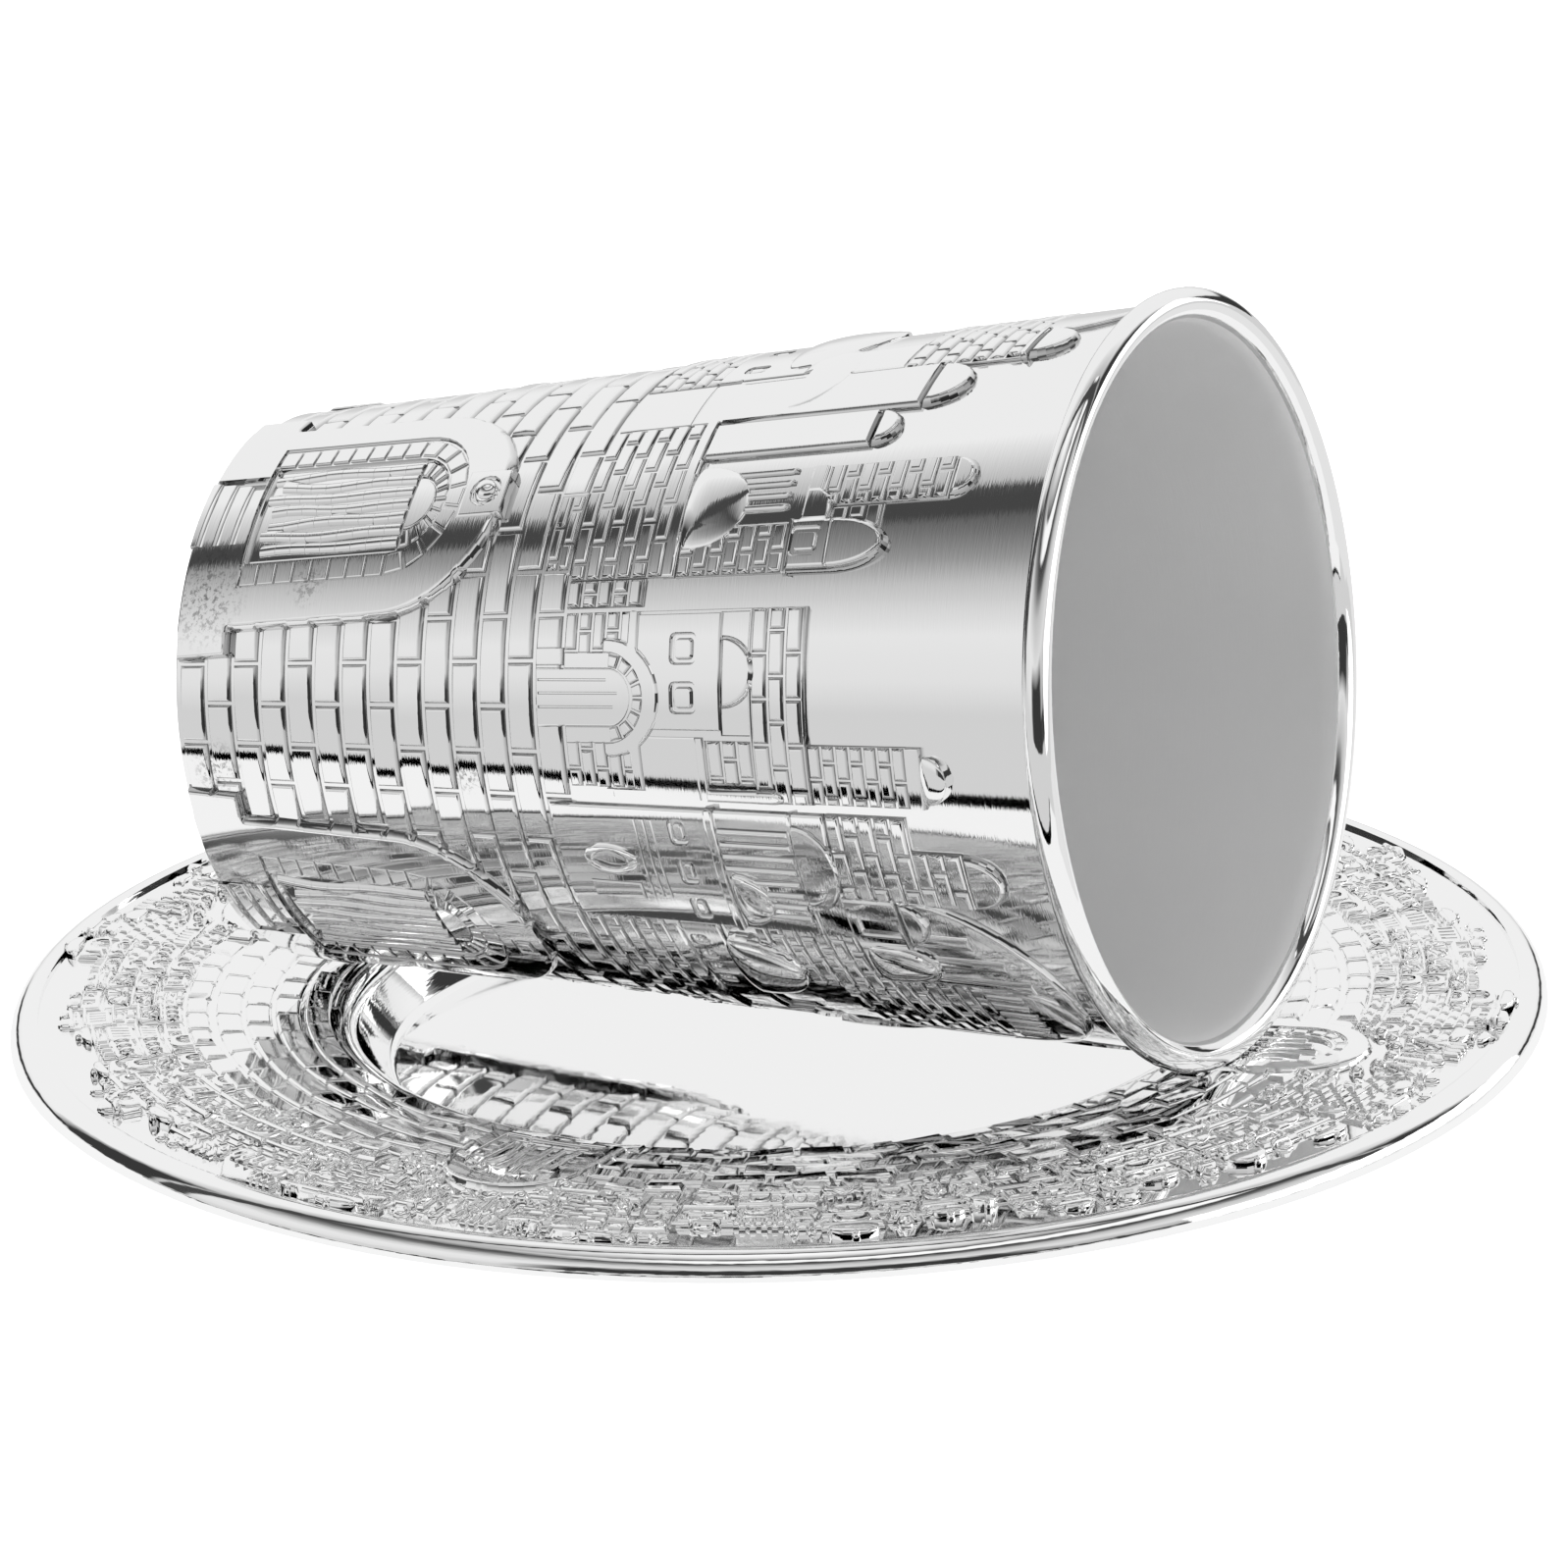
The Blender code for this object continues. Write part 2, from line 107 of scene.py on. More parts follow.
# The form of domes and balls, and the mesh on them
DOME_PEAK = 0.45
DOME_FOOT = 0.6
DOME_WAIST = 0.22
BALL_FLATTEST = 0.2
CAP_BLEND = 0.03
EDGE_ROOM = 0.96
WIDE_CAP, WIDE_CAP_SHARES, CAP_SHARES = 3.0, (0, 0.03, 0.1, 0.22, 0.38, 0.58, 0.8), (0, 0.1, 0.35, 0.7)
WIDE_EDGE, WIDE_EDGE_SHARES, EDGE_SHARES = 0.45, (0, 0.45, 1), (0, 1)
COVERED, COVER_SAMPLES = 1.001, (0.02, 0.5, 0.98)
EDGE_STEP = 1.5
GRID_STEP = 3.0
GRID_ROW = 6.0
MERGED = 2e-6
SLACK = 1e-3
PROBE_IN = 0.04
# Slope of a joint's wall at which it gets its full painted shade
FULL_SHADE_SLOPE = 2.4
CREASE = math.cos(math.radians(32.0))

# The cup's town from the farthest layer to the nearest, down to the masonry. Each row names a method
# of Relief and its arguments, and a row is painted over the rows before it.
FAR_TOWN = (
    ("arch", 134, 24.5, 56, 68, 82.8, 0.5, 0.6, 28), ("arch", 134, 21.8, 56, 68, 81.2, 0.3, 0.3, 28),
    *(("bar", 134 + rib * 5, 1.5, 66, 80 - rib ** 2 / 2, 0.5, (0.3, 0.6) * 2) for rib in range(-3, 5)),
    ("arch", -6, 10.5, 50, 76, 84.3, 0.5, 0.3), ("tower", 3.5, 13.6, 50, 77.6, 81.3, 0.62),
    ("bricks", -12, 13.6, 66, 77, 7, 5.6, 0.62), ("tower", 13.5, 25, 50.7, 70, 74, 0.66, 0, 0),
    ("box", 13.9, 24.4, 69.7, 70, -0.1, 0.1, True), ("tower", 25.3, 33.4, 50.7, 66.7, 69.2, 0.66, 0, 0),
    ("box", 25.9, 32.8, 66.45, 66.7, -0.1, 0.1, True), ("tower", 37, 44.9, 64, 75.9, 78.3, 0.62, 8, 0),
    ("bricks", 44.9, 49.5, 65, 70, 3, 5.6, 0.5), ("box", 37, 48, 50.7, 64, 0.5, 0.2),
    ("bricks", 84.2, 94.2, 64.1, 73.5, 7, 5.6, 0.62), ("box", 84.2, 94.2, 73.5, 74.9, 0.66, 0.14),
    ("dome", 89.4, 3.9, 74.9, 77.3, 1), ("bricks", 101.4, 111.6, 72.6, 77.3, 3, 6.4, 0.66),
    ("arch", 106.5, 5, 77.3, 77.5, 81, 0.72, 0.6), ("bricks", 95.7, 111.3, 64.9, 72.6, 5, 6.4, 0.66),
    ("bricks", 129.9, 150, 60, 74.4, 10, 6.4, 0.66), ("arch", 138.5, 8.6, 74, 78, 82, 0.66, 0.5),
    ("columns", 130.4, 147, 74.6, 78, 6, 0.95), ("bricks", 118.2, 135, 54.5, 64.6, 7, 5.2, 0.62))
MIDDLE_TOWN = (
    ("dome", 12, 11, 56, 61.2, 0.95), ("dome", -6.5, 15.5, 53.2, 61, 1.2),
    *(("arch", centre, 0.8, 55, 60.2, 61.1, 0.95, 0.35, 8) for centre in (38, 40.3, 42.6, 44.9)),
    ("box", 37, 47, 62.3, 63.7, 0.6, 0.15), ("arch", 46.5, 4.8, 62.3, 63.4, 65.2, 0.85, 0.4),
    ("bricks", 47.6, 56.4, 50.9, 61.3, 7, 5, 0.72), ("box", 47.2, 56.8, 61.3, 61.8, 0.85, 0.15),
    ("arch", 52, 4.7, 61.6, 65.8, 71, 1.15, 0.6, 22), ("box", 47.9, 56.1, 65.5, 65.9, -0.25, 0.18, True),
    ("windows", (51.6,), 2.6, 61.9, 64.9, 1.15), ("dome", 43.8, 8, 50.7, 56.9, 0.95),
    ("box", 61.9, 94.3, 44, 64.2, 0.6, 0.2), ("bricks", 62.1, 94.3, 59, 64, 3, 7.4, 0.75),
    ("box", 62.6, 82.9, 56.1, 58.9, 0.45, 0.15), ("arch", 72.5, 6, 56.2, 56.3, 59.5, 0.95, 0.45, 20),
    ("box", 62.6, 82.1, 46, 56.1, 0.72, 0.18), ("windows", (68.6, 76.7), 2.7, 51.2, 53.8, 0.72),
    ("bricks", 83.7, 91.2, 54.4, 58.9, 3, 6.4, 0.7), ("arch", 93, 1.3, 53.8, 60.6, 61.6, 1, 0.4, 8),
    ("box", 83.2, 94.3, 53.5, 54.3, 0.85, 0.15), ("box", 83.2, 94.3, 44.8, 53.5, 0.66, 0.18),
    ("tower", 110.6, 120, 64.6, 69.8, 72.3, 0.8), ("box", 114.6, 118.4, 65.4, 69.4, 0.35, 0.15),
    ("arch", 125, 4.8, 64.6, 69, 71.8, 0.8, 0.5), ("dome", 125, 4.4, 65.2, 71.2, 1.3),
    ("box", 95.7, 119.4, 53.6, 64.8, 0.6, 0.2), ("arch", 105.7, 8.2, 61.4, 61.8, 65.3, 0.95, 0.3, 20),
    ("arch", 105.7, 6.6, 61.4, 61.8, 64.3, 0.6, 0.15, 20), ("box", 95.7, 98.5, 61.3, 61.8, 0.9, 0.15),
    ("box", 112.4, 119, 61.3, 61.9, 0.9, 0.15), ("columns", 98.2, 117, 54.4, 61.2, 8, 0.95),
    ("dome", 112.6, 5.4, 54.4, 58, 1.3), ("box", 95.4, 119.6, 53.4, 54.2, 0.95, 0.15),
    ("dome", 130, 8.4, 51, 57.7, 1.5))
NEAR_TOWN = (
    ("box", 95.7, 119.3, 38, 53.4, 0.66, 0.2), ("windows", (100, 107.8, 115.6), 2.5, 49.5, 51.3, 0.66),
    *(("box", 97.7, 113.4, low, low + 0.6, 0.85, 0.14) for low in (45.8, 46.7, 47.5)),
    ("bead", 106.1, 43, 3.3, 2.6, 1, 18), ("bead", 106.1, 43, 2.4, 1.9, -0.3, 18, True),
    ("box", 110.6, 114.2, 40.4, 45.4, 0.9, 0.2), ("bricks", 119.6, 152, 38, 45.9, 5, 6.2, 0.66),
    ("box", 119.6, 152, 45.9, 47.3, 0.85, 0.2), ("box", 119.6, 152, 47.3, 51, 0.5, 0.15),
    ("windows", (124, 128.2, 132.4, 136.4), 1.5, 47.7, 49.5, 0.55),
    ("box", -28, 11.4, 40.6, 53.2, 0.62, 0.25), ("bricks", -28, 11.2, 40.8, 47.8, 5, 6.2, 0.66),
    ("windows", (-13, -3, 7), 1.7, 49.4, 51.6, 0.62),
    ("box", 11.4, 24.4, 40.6, 57, 0.4, 0.2), ("box", 11.6, 24.2, 47.7, 47.95, -0.1, 0.08, True),
    ("bricks", 24.4, 56.2, 40.4, 49.6, 6, 7.2, 0.62), ("bricks", 56.2, 61.2, 40.4, 48, 5, 5.2, 0.62),
    ("box", 24.2, 56.4, 49.6, 50.8, 0.75, 0.2), ("box", 38.4, 55, 37.6, 40.3, 0.35, 0.15),
    ("bricks", 39.2, 54.2, 37.8, 40.2, 2, 6.6, 0.6), ("bricks", 61.9, 92.6, 40.5, 47.4, 5, 6.8, 0.7),
    ("box", 61.9, 92.6, 47, 48.1, 0.95, 0.25))

# Camera, in millimetres and degrees
CAMERA_PLACE = (0.0, -623.58, 226.96)
CAMERA_AHEAD = (0.0016, 0.95159, -0.30736)
CAMERA_ROLL = -1.7465
CAMERA_LENS = 172.27

# Floor, and lamp in metres and watts
FLOOR_GREY, FLOOR_GLOW = 0.9, 0.55
LAMP_PLACE = (0.0, -0.2, 0.95)
LAMP_SIZE, LAMP_POWER = 0.9, 7.0
# Cards that only the silver shows, as (name, corners, brightness). The last one stands upright.
CARDS = (
    ("far_card", ((-1500, -1500, -0.3), (1500, -1500, -0.3), (1500, 1500, -0.3), (-1500, 1500, -0.3)), 0.66),
    ("near_card", ((-295, 23, -0.2), (165, -207, -0.2), (300, 300, -0.2), (-200, 300, -0.2)), 0.93),
    ("edge_card", ((-295, 23, 0.5), (165, -207, 0.5), (171, -195, 0.5), (-289, 35, 0.5)), 0.0),
    ("side_card", ((130, -100, 0.5), (320, -100, 0.5), (320, 330, 0.5), (130, 330, 0.5)), 0.8),
    ("wall_card", ((600, -400, 0), (600, 500, 0), (600, 500, 220), (600, -400, 220)), 1.5))

# The room's grey by the height of the direction, from straight down (-1) to straight up (1)
ROOM_GREYS = ((-0.9, 0.6), (0.0, 0.66), (0.15, 0.78), (0.35, 0.82), (0.45, 0.7), (0.54, 0.55),
              (0.62, 0.3), (0.7, 0.14), (0.76, 0.06), (1.0, 0.05))
# The same on the camera's side and to the right of it, with a band of light high up
BESIDE_GREYS = ((-0.9, 0.6), (-0.01, 0.6), (0.0, 0.05), (0.08, 0.05), (0.10, 0.4), (0.35, 0.75),
                (0.55, 0.55), (0.66, 0.12), (0.74, 0.04), (0.76, 1.0), (0.86, 1.0), (0.88, 0.04),
                (1.0, 0.03))
TENT_GREYS = (0.48, 0.88)
SLIT_GREY = 0.06
DARK_GREY = 0.04

# Silver: grey and roughness of (smooth, worn) metal, then the strength of its scratches
POLISHED = (0.98, (0.02, 0.05), 0.2)
STAINED = (0.95, (0.025, 0.06), 0.2)
SATIN = (0.97, (0.60, 0.66), 0.6)
# Painted shade: how far the cup's joint walls are darkened towards the dark grey
JOINT_SHADE = 0.6
# Dark grey of the tarnish specks and of the painted shade on joint walls
SHADE_AND_TARNISH = (0.05, 0.05, 0.05, 1.0)
SCRATCH_DEPTH = 0.00002
# Tarnished places on the cup: (degrees, height, radius)
STAINS = ((57.0, 3.4, 5.0), (55.0, 14.0, 2.6), (91.0, 30.0, 2.0), (92.0, 4.0, 3.0))

RANDOM = np.random.default_rng(7)
draw = RANDOM.uniform


def lean(most):
    """A random tilt, as rise over run along and across."""
    return draw(-most, most, 2)


def arc(centre, radii, start, end, steps):
    """Points along part of an ellipse, from start to end in degrees."""
    angles = np.radians(np.linspace(start, end, steps + 1))
    return [(centre[0] + radii[0] * math.cos(a), centre[1] + radii[1] * math.sin(a)) for a in angles]


def spread(left, right, count):
    """Middles of equal parts of a width, and the width of one part."""
    pitch = (right - left) / count
    return [left + (i + 0.5) * pitch for i in range(count)], pitch


def turned(angle, outward, around, up):
    """Vectors from their parts outward, around and up, at angles about the z axis."""
    cos, sin = np.cos(angle), np.sin(angle)
    x, y = outward * cos - around * sin, outward * sin + around * cos
    return np.c_[x, y, np.broadcast_to(up, x.shape)]


def in_order(marked, values):
    """Indices of the marked points, in the order of their values."""
    marked = np.nonzero(marked)[0]
    return marked[np.argsort(values[marked])]


class Form:
    """One convex form: it climbs from its outline to its level over its edge widths.

    The climb is rounded at the top. Without an edge it is a cap, which rises to its peak.
    A form that is added lifts or cuts what lies under it, and any other form replaces it.
    """

    def __init__(self, outline, level, edge, added, tilt, peak, ball):
        self.outline = np.array(outline, float)
        self.level, self.added, self.tilt, self.is_ball = level, added, np.array(tilt, float), ball
        along = np.roll(self.outline, -1, axis=0) - self.outline
        along /= np.linalg.norm(along, axis=1)[:, None]
        self.inward = np.c_[-along[:, 1], along[:, 0]]
        self.offset = np.sum(self.inward * self.outline, axis=1)
        self.low, self.high = self.outline.min(axis=0), self.outline.max(axis=0)
        self.middle = (self.low + self.high) / 2 if peak is None else np.array(peak, float)
        room = self.inward @ self.middle - self.offset
        self.is_cap = edge is None
        self.edges = room if self.is_cap else np.minimum(edge, EDGE_ROOM * room)

    def depths(self, points):
        """How far each point has climbed from each side: 0 at the outline, 1 at the level."""
        return (points @ self.inward.T - self.offset) / self.edges

    def climb(self, points):
        """The share of its level that the form has at each point, and the slope of that share."""
        depths = self.depths(points)
        share = depths.min(axis=1)
        rest = 1 - np.clip(share, 0, 1)
        climb, slope = 1 - rest ** 2, 2 * rest
        if self.is_ball:
            climb = np.sqrt(climb)
            slope = rest / np.maximum(climb, BALL_FLATTEST)
        if self.is_cap:
            near = np.exp((share[:, None] - depths) / CAP_BLEND)
            uphill = near @ (self.inward / self.edges[:, None]) / near.sum(axis=1)[:, None]
        else:
            side = depths.argmin(axis=1)
            uphill = self.inward[side] / self.edges[side][:, None]
        slope = np.where((share > 0) & (share < 1), slope, 0)
        return climb, slope[:, None] * uphill

    def ring(self, share):
        if self.is_cap:
            return self.middle + (self.outline - self.middle) * (1 - share)
        corners = []
        for i in range(len(self.outline)):
            sides = [i - 1, i]
            places = self.offset[sides] + self.edges[sides] * share
            corners.append(np.linalg.solve(self.inward[sides], places))
        return np.array(corners)

    def rings(self):
        """Outlines at some shares of the climb, which become edges of the mesh."""
        if self.is_cap:
            shares = WIDE_CAP_SHARES if (self.high - self.low).max() > WIDE_CAP else CAP_SHARES
        else:
            shares = WIDE_EDGE_SHARES if self.edges.max() > WIDE_EDGE else EDGE_SHARES
        return [self.ring(share) for share in shares]


class Drawing:
    """Outlines of plain shapes. What x stands for is up to the add() of a subclass."""

    def box(self, left, right, low, high, level, edge=EDGE, added=False, tilt=(0, 0)):
        self.add([(left, low), (right, low), (right, high), (left, high)], level, edge, added, tilt)

    def bar(self, centre, half, low, high, level, edge=EDGE, added=False):
        """A box about a centre."""
        self.box(centre - half, centre + half, low, high, level, edge, added)

    def arch(self, centre, half, low, spring, top, level, edge=EDGE, steps=None):
        """A box with an elliptical head."""
        outline = [(centre - half, low), (centre + half, low)] if spring > low + 0.05 else []
        outline += arc((centre, spring), (half, top - spring), 0, 180, steps or self.arch_steps)
        self.add(outline, level, edge)

    def tiles(self, centre, spring, inner, outer, count, level, gap=0.14, edge=TILE_EDGE):
        """Wedge tiles round an arch, between two half-ellipses of (half width, height)."""
        for i in range(count):
            first, last = [math.radians(180 * end / count) for end in (i + gap / 2, i + 1 - gap / 2)]
            corners = []
            for (wide, tall), angle in ((inner, first), (outer, first), (outer, last), (inner, last)):
                corners.append((centre + wide * math.cos(angle), spring + tall * math.sin(angle)))
            self.add(corners, level, edge)


class Relief(Drawing):
    """Carving over one period of a band, drawn in degrees round it and millimetres across it.

    Its seam lies SEAM millimetres before the angle of zero, where few forms cross it.
    """

    arch_steps = 14

    def __init__(self, radius, foot, head):
        self.radius, self.foot, self.head = radius, foot, head
        self.per_degree = math.radians(radius)
        self.width = PERIOD * self.per_degree
        self.forms = []

    def add(self, outline, level, edge=EDGE, added=False, tilt=(0, 0), peak=None, ball=False):
        """Adds a form and its copies in the next periods. Its outline is counter-clockwise."""
        flat = [(x * self.per_degree + SEAM, y) for x, y in outline]
        middle = sum(x for x, y in flat) / len(flat)
        first = -math.floor(middle / self.width)
        for turn in (first - 1, first, first + 1):
            shift = turn * self.width
            moved = [(x + shift, y) for x, y in flat]
            top = None if peak is None else (peak[0] * self.per_degree + SEAM + shift, peak[1])
            if any(0 < x < self.width for x, y in moved):
                self.forms.append(Form(moved, level, edge, added, tilt, top, ball))

    def bead(self, centre, middle, half, tall, level, steps=10, added=False):
        """A ball, or a hollow if it is added with a level below zero."""
        self.add(arc((centre, middle), (half, tall), 0, 360, steps)[:-1], level, None, added, ball=True)

    def dome(self, centre, half, low, top, level, steps=28):
        """A smooth dome that narrows quickly below its waist."""
        tall = top - low
        waist = low + DOME_WAIST * tall
        outline = []
        for x, rise in arc((centre, 0), (half, 1), 0, 360, steps)[:-1]:
            height = (top - waist) * rise if rise >= 0 else (low - waist) * math.sqrt(-rise)
            outline.append((x, waist + height))
        self.add(outline, level * DOME_FOOT, 0.12)
        self.add(outline, level, None, peak=(centre, low + tall * DOME_PEAK), ball=True)

    def rounded(self, left, right, low, high, level, edge, radius):
        """A box with rounded corners. Its radius is in millimetres."""
        wide = radius / self.per_degree
        outline = []
        for x, y, first in ((right - wide, high - radius, 0), (left + wide, high - radius, 90),
                            (left + wide, low + radius, 180), (right - wide, low + radius, 270)):
            outline += arc((x, y), (wide, radius), first, first + 90, 3)
        self.add(outline, level, edge)

    def windows(self, centres, half, low, high, level):
        """Windows with a sunk frame round a raised pane."""
        inner = half - PANE_MARGIN / self.per_degree
        low_in, high_in = low + PANE_MARGIN, high - PANE_MARGIN
        for centre in centres:
            self.rounded(centre - half, centre + half, low, high, level - 0.4, 0.22, 0.5)
            self.rounded(centre - inner, centre + inner, low_in, high_in, level - 0.02, 0.22, 0.35)

    def bricks(self, left, right, low, high, courses, length, level, gap=0.2):
        """Small bricks on a sunk bed, with joints half a brick on from course to course."""
        self.box(left, right, low, high, level - BRICK_BED, 0.1)
        course = (high - low) / courses
        for row in range(courses):
            bottom, top = low + row * course + gap / 2, low + (row + 1) * course - gap / 2
            joint = left - length * (0.5 if row % 2 else 0)
            while joint < right - 0.2:
                start, end = max(joint, left) + BRICK_END, min(joint + length, right) - BRICK_END
                if end - start > SHORTEST_BRICK:
                    tilt, proud = lean(BRICK_LEAN), level + draw(-0.05, 0.05)
                    self.box(start, end, bottom, top, proud, BRICK_EDGE, tilt=tilt)
                joint += length

    def tower(self, left, right, low, cap, top, level, courses=0, cornice=0.3):
        """A tower under a round cap: smooth, or of small bricks if it has courses."""
        if courses:
            self.bricks(left, right, low, cap, courses, 5.6, level)
        else:
            self.box(left, right, low, cap, level, 0.3)
        if cornice:
            self.box(left - 0.4, right + 0.4, cap - cornice, cap + 0.1, level + 0.15, 0.12)
        self.arch((left + right) / 2, (right - left) / 2, cap, cap + 0.1, top, level + 0.1, 0.6)

    def columns(self, left, right, low, high, count, level):
        """A row of upright half-round columns."""
        middles, pitch = spread(left, right, count)
        half = pitch * 0.6 / 2
        for middle in middles:
            self.bar(middle, half, low, high, level, (0.1, half * self.per_degree) * 2)

    def slots(self, left, right, low, high, count, depth, share=0.55):
        """A row of sunk windows."""
        middles, pitch = spread(left, right, count)
        for middle in middles:
            self.bar(middle, pitch * share / 2, low, high, -depth, 0.08, True)

    def blocks(self, courses, foot, tall, count, joints, most_lean):
        """Courses of large flat blocks, one lean for each, with narrow sunk joints."""
        length = 360 / count
        half_joint = JOINT / 2
        gap = half_joint / self.per_degree
        for row in range(courses):
            bottom, top = foot + row * tall + half_joint, foot + row * tall + tall - half_joint
            for i in range(round(PERIOD / length)):
                left = joints[row % 2] + i * length
                tilt = lean(most_lean)
                self.box(left + gap, left + length - gap, bottom, top, BLOCK_LEVEL, BLOCK_EDGE, tilt=tilt)

    def paint(self, rows):
        for kind, *values in rows:
            getattr(self, kind)(*values)

    def measure(self, points):
        """Height and slope of the carving at each point, and where it is the wall of a joint."""
        height, slope = np.zeros(len(points)), np.zeros((len(points), 2))
        walled = np.zeros(len(points), bool)
        order = np.argsort(points[:, 0], kind="stable")
        sorted_x = points[order, 0]
        for form in self.forms:
            first, last = np.searchsorted(sorted_x, (form.low[0], form.high[0]))
            near = order[first:last]
            near = near[(points[near, 1] > form.low[1]) & (points[near, 1] < form.high[1])]
            climb, gradient = form.climb(points[near])
            level = form.level + (points[near] - form.middle) @ form.tilt
            over = level if form.added else level - height[near]
            own = form.tilt if form.added else form.tilt - slope[near]
            height[near] += climb * over
            slope[near] += gradient * over[:, None] + climb[:, None] * own
            walled[near] = np.where(climb > 0, not form.is_cap, walled[near])
        return height, slope, walled

    def hidden(self, index, points):
        """Which of these points of one form a later form wholly covers."""
        points = np.c_[points[:, 0] % self.width, points[:, 1]]
        touching = (self.lows < points.max(axis=0)) & (self.highs > points.min(axis=0))
        later = self.covers & touching.all(axis=1)
        later[:index + 1] = False
        covered = np.zeros(len(points), bool)
        for other in np.nonzero(later)[0]:
            covered |= self.forms[other].depths(points).min(axis=1) > COVERED
        return covered

    def pieces(self, starts, ends):
        """Edges cut into pieces that are short enough to follow the band's curve."""
        firsts, lasts = [], []
        for a, b in zip(starts, ends):
            count = max(1, math.ceil(abs(b[0] - a[0]) / EDGE_STEP))
            cuts = a + (b - a) * (np.arange(count + 1) / count)[:, None]
            firsts.append(cuts[:-1])
            lasts.append(cuts[1:])
        return np.concatenate(firsts), np.concatenate(lasts)

    def triangles(self):
        """Flat points and triangles over one period, with no relief on its border."""
        self.lows = np.array([form.low for form in self.forms])
        self.highs = np.array([form.high for form in self.forms])
        self.covers = np.array([not form.added and not form.is_cap for form in self.forms])
        columns = round(PERIOD / GRID_STEP)
        rows = round((self.head - self.foot) / GRID_ROW)
        points, edges = [], []
        for j in range(rows + 1):
            on_border = j in (0, rows)
            for i in range(columns + 1):
                if on_border or 0 < i < columns:
                    points.append((self.width * i / columns, self.foot + (self.head - self.foot) * j / rows))
                if on_border and i > 0:
                    edges.append((len(points) - 2, len(points) - 1))
        edges += [(0, len(points) - columns - 1), (columns, len(points) - 1)]
        for index, form in enumerate(self.forms):
            for ring in form.rings():
                ring, following = self.pieces(ring, np.roll(ring, -1, axis=0))
                samples = [ring + (following - ring) * share for share in COVER_SAMPLES]
                covered = np.all([self.hidden(index, sample) for sample in samples], axis=0)
                for a, b in zip(ring[~covered], following[~covered]):
                    edges.append((len(points), len(points) + 1))
                    points += [tuple(a), tuple(b)]
            if form.is_cap and not self.hidden(index, form.middle[None])[0]:
                points.append(tuple(form.middle))
        flat = [Vector((x / self.width, y / self.width)) for x, y in points]
        found, _, faces, _, _, _ = delaunay_2d_cdt(flat, edges, [], 0, MERGED)
        spots = np.array([(v.x, v.y) for v in found]) * self.width
        faces = np.array([face for face in faces if len(face) == 3])
        middle = spots[faces].mean(axis=1)
        kept = (middle[:, 0] > 0) & (middle[:, 0] < self.width)
        kept &= (middle[:, 1] > self.foot) & (middle[:, 1] < self.head)
        return spots, faces[kept]


class Place(Drawing):
    """Draws in millimetres about a point of a band, where the band's radius changes."""

    arch_steps = 19

    def __init__(self, relief, centre, radius_at):
        self.relief, self.centre, self.radius_at = relief, centre, radius_at

    def add(self, outline, level, *more):
        flat = [(self.centre + math.degrees(x / self.radius_at(y)), y) for x, y in outline]
        self.relief.add(flat, level, *more)

    def jambs(self, inner, outer, foot, tall, count, level):
        """Square tiles up both sides of a door."""
        for side in (-1, 1):
            near, far = sorted((side * inner, side * outer))
            for i in range(count):
                low = foot + i * tall
                self.box(near, far, low, low + tall - 0.2, level, 0.12)

    def ridge(self, points, width, level):
        """A rounded ridge along a bent line, in straight pieces that overlap."""
        half = width / 2
        for (x0, y0), (x1, y1) in zip(points, points[1:]):
            outline = [(x0 - half, y0), (x0 + half, y0), (x1 + half, y1), (x1 - half, y1)]
            self.add(outline, level, (0.02, half) * 2)


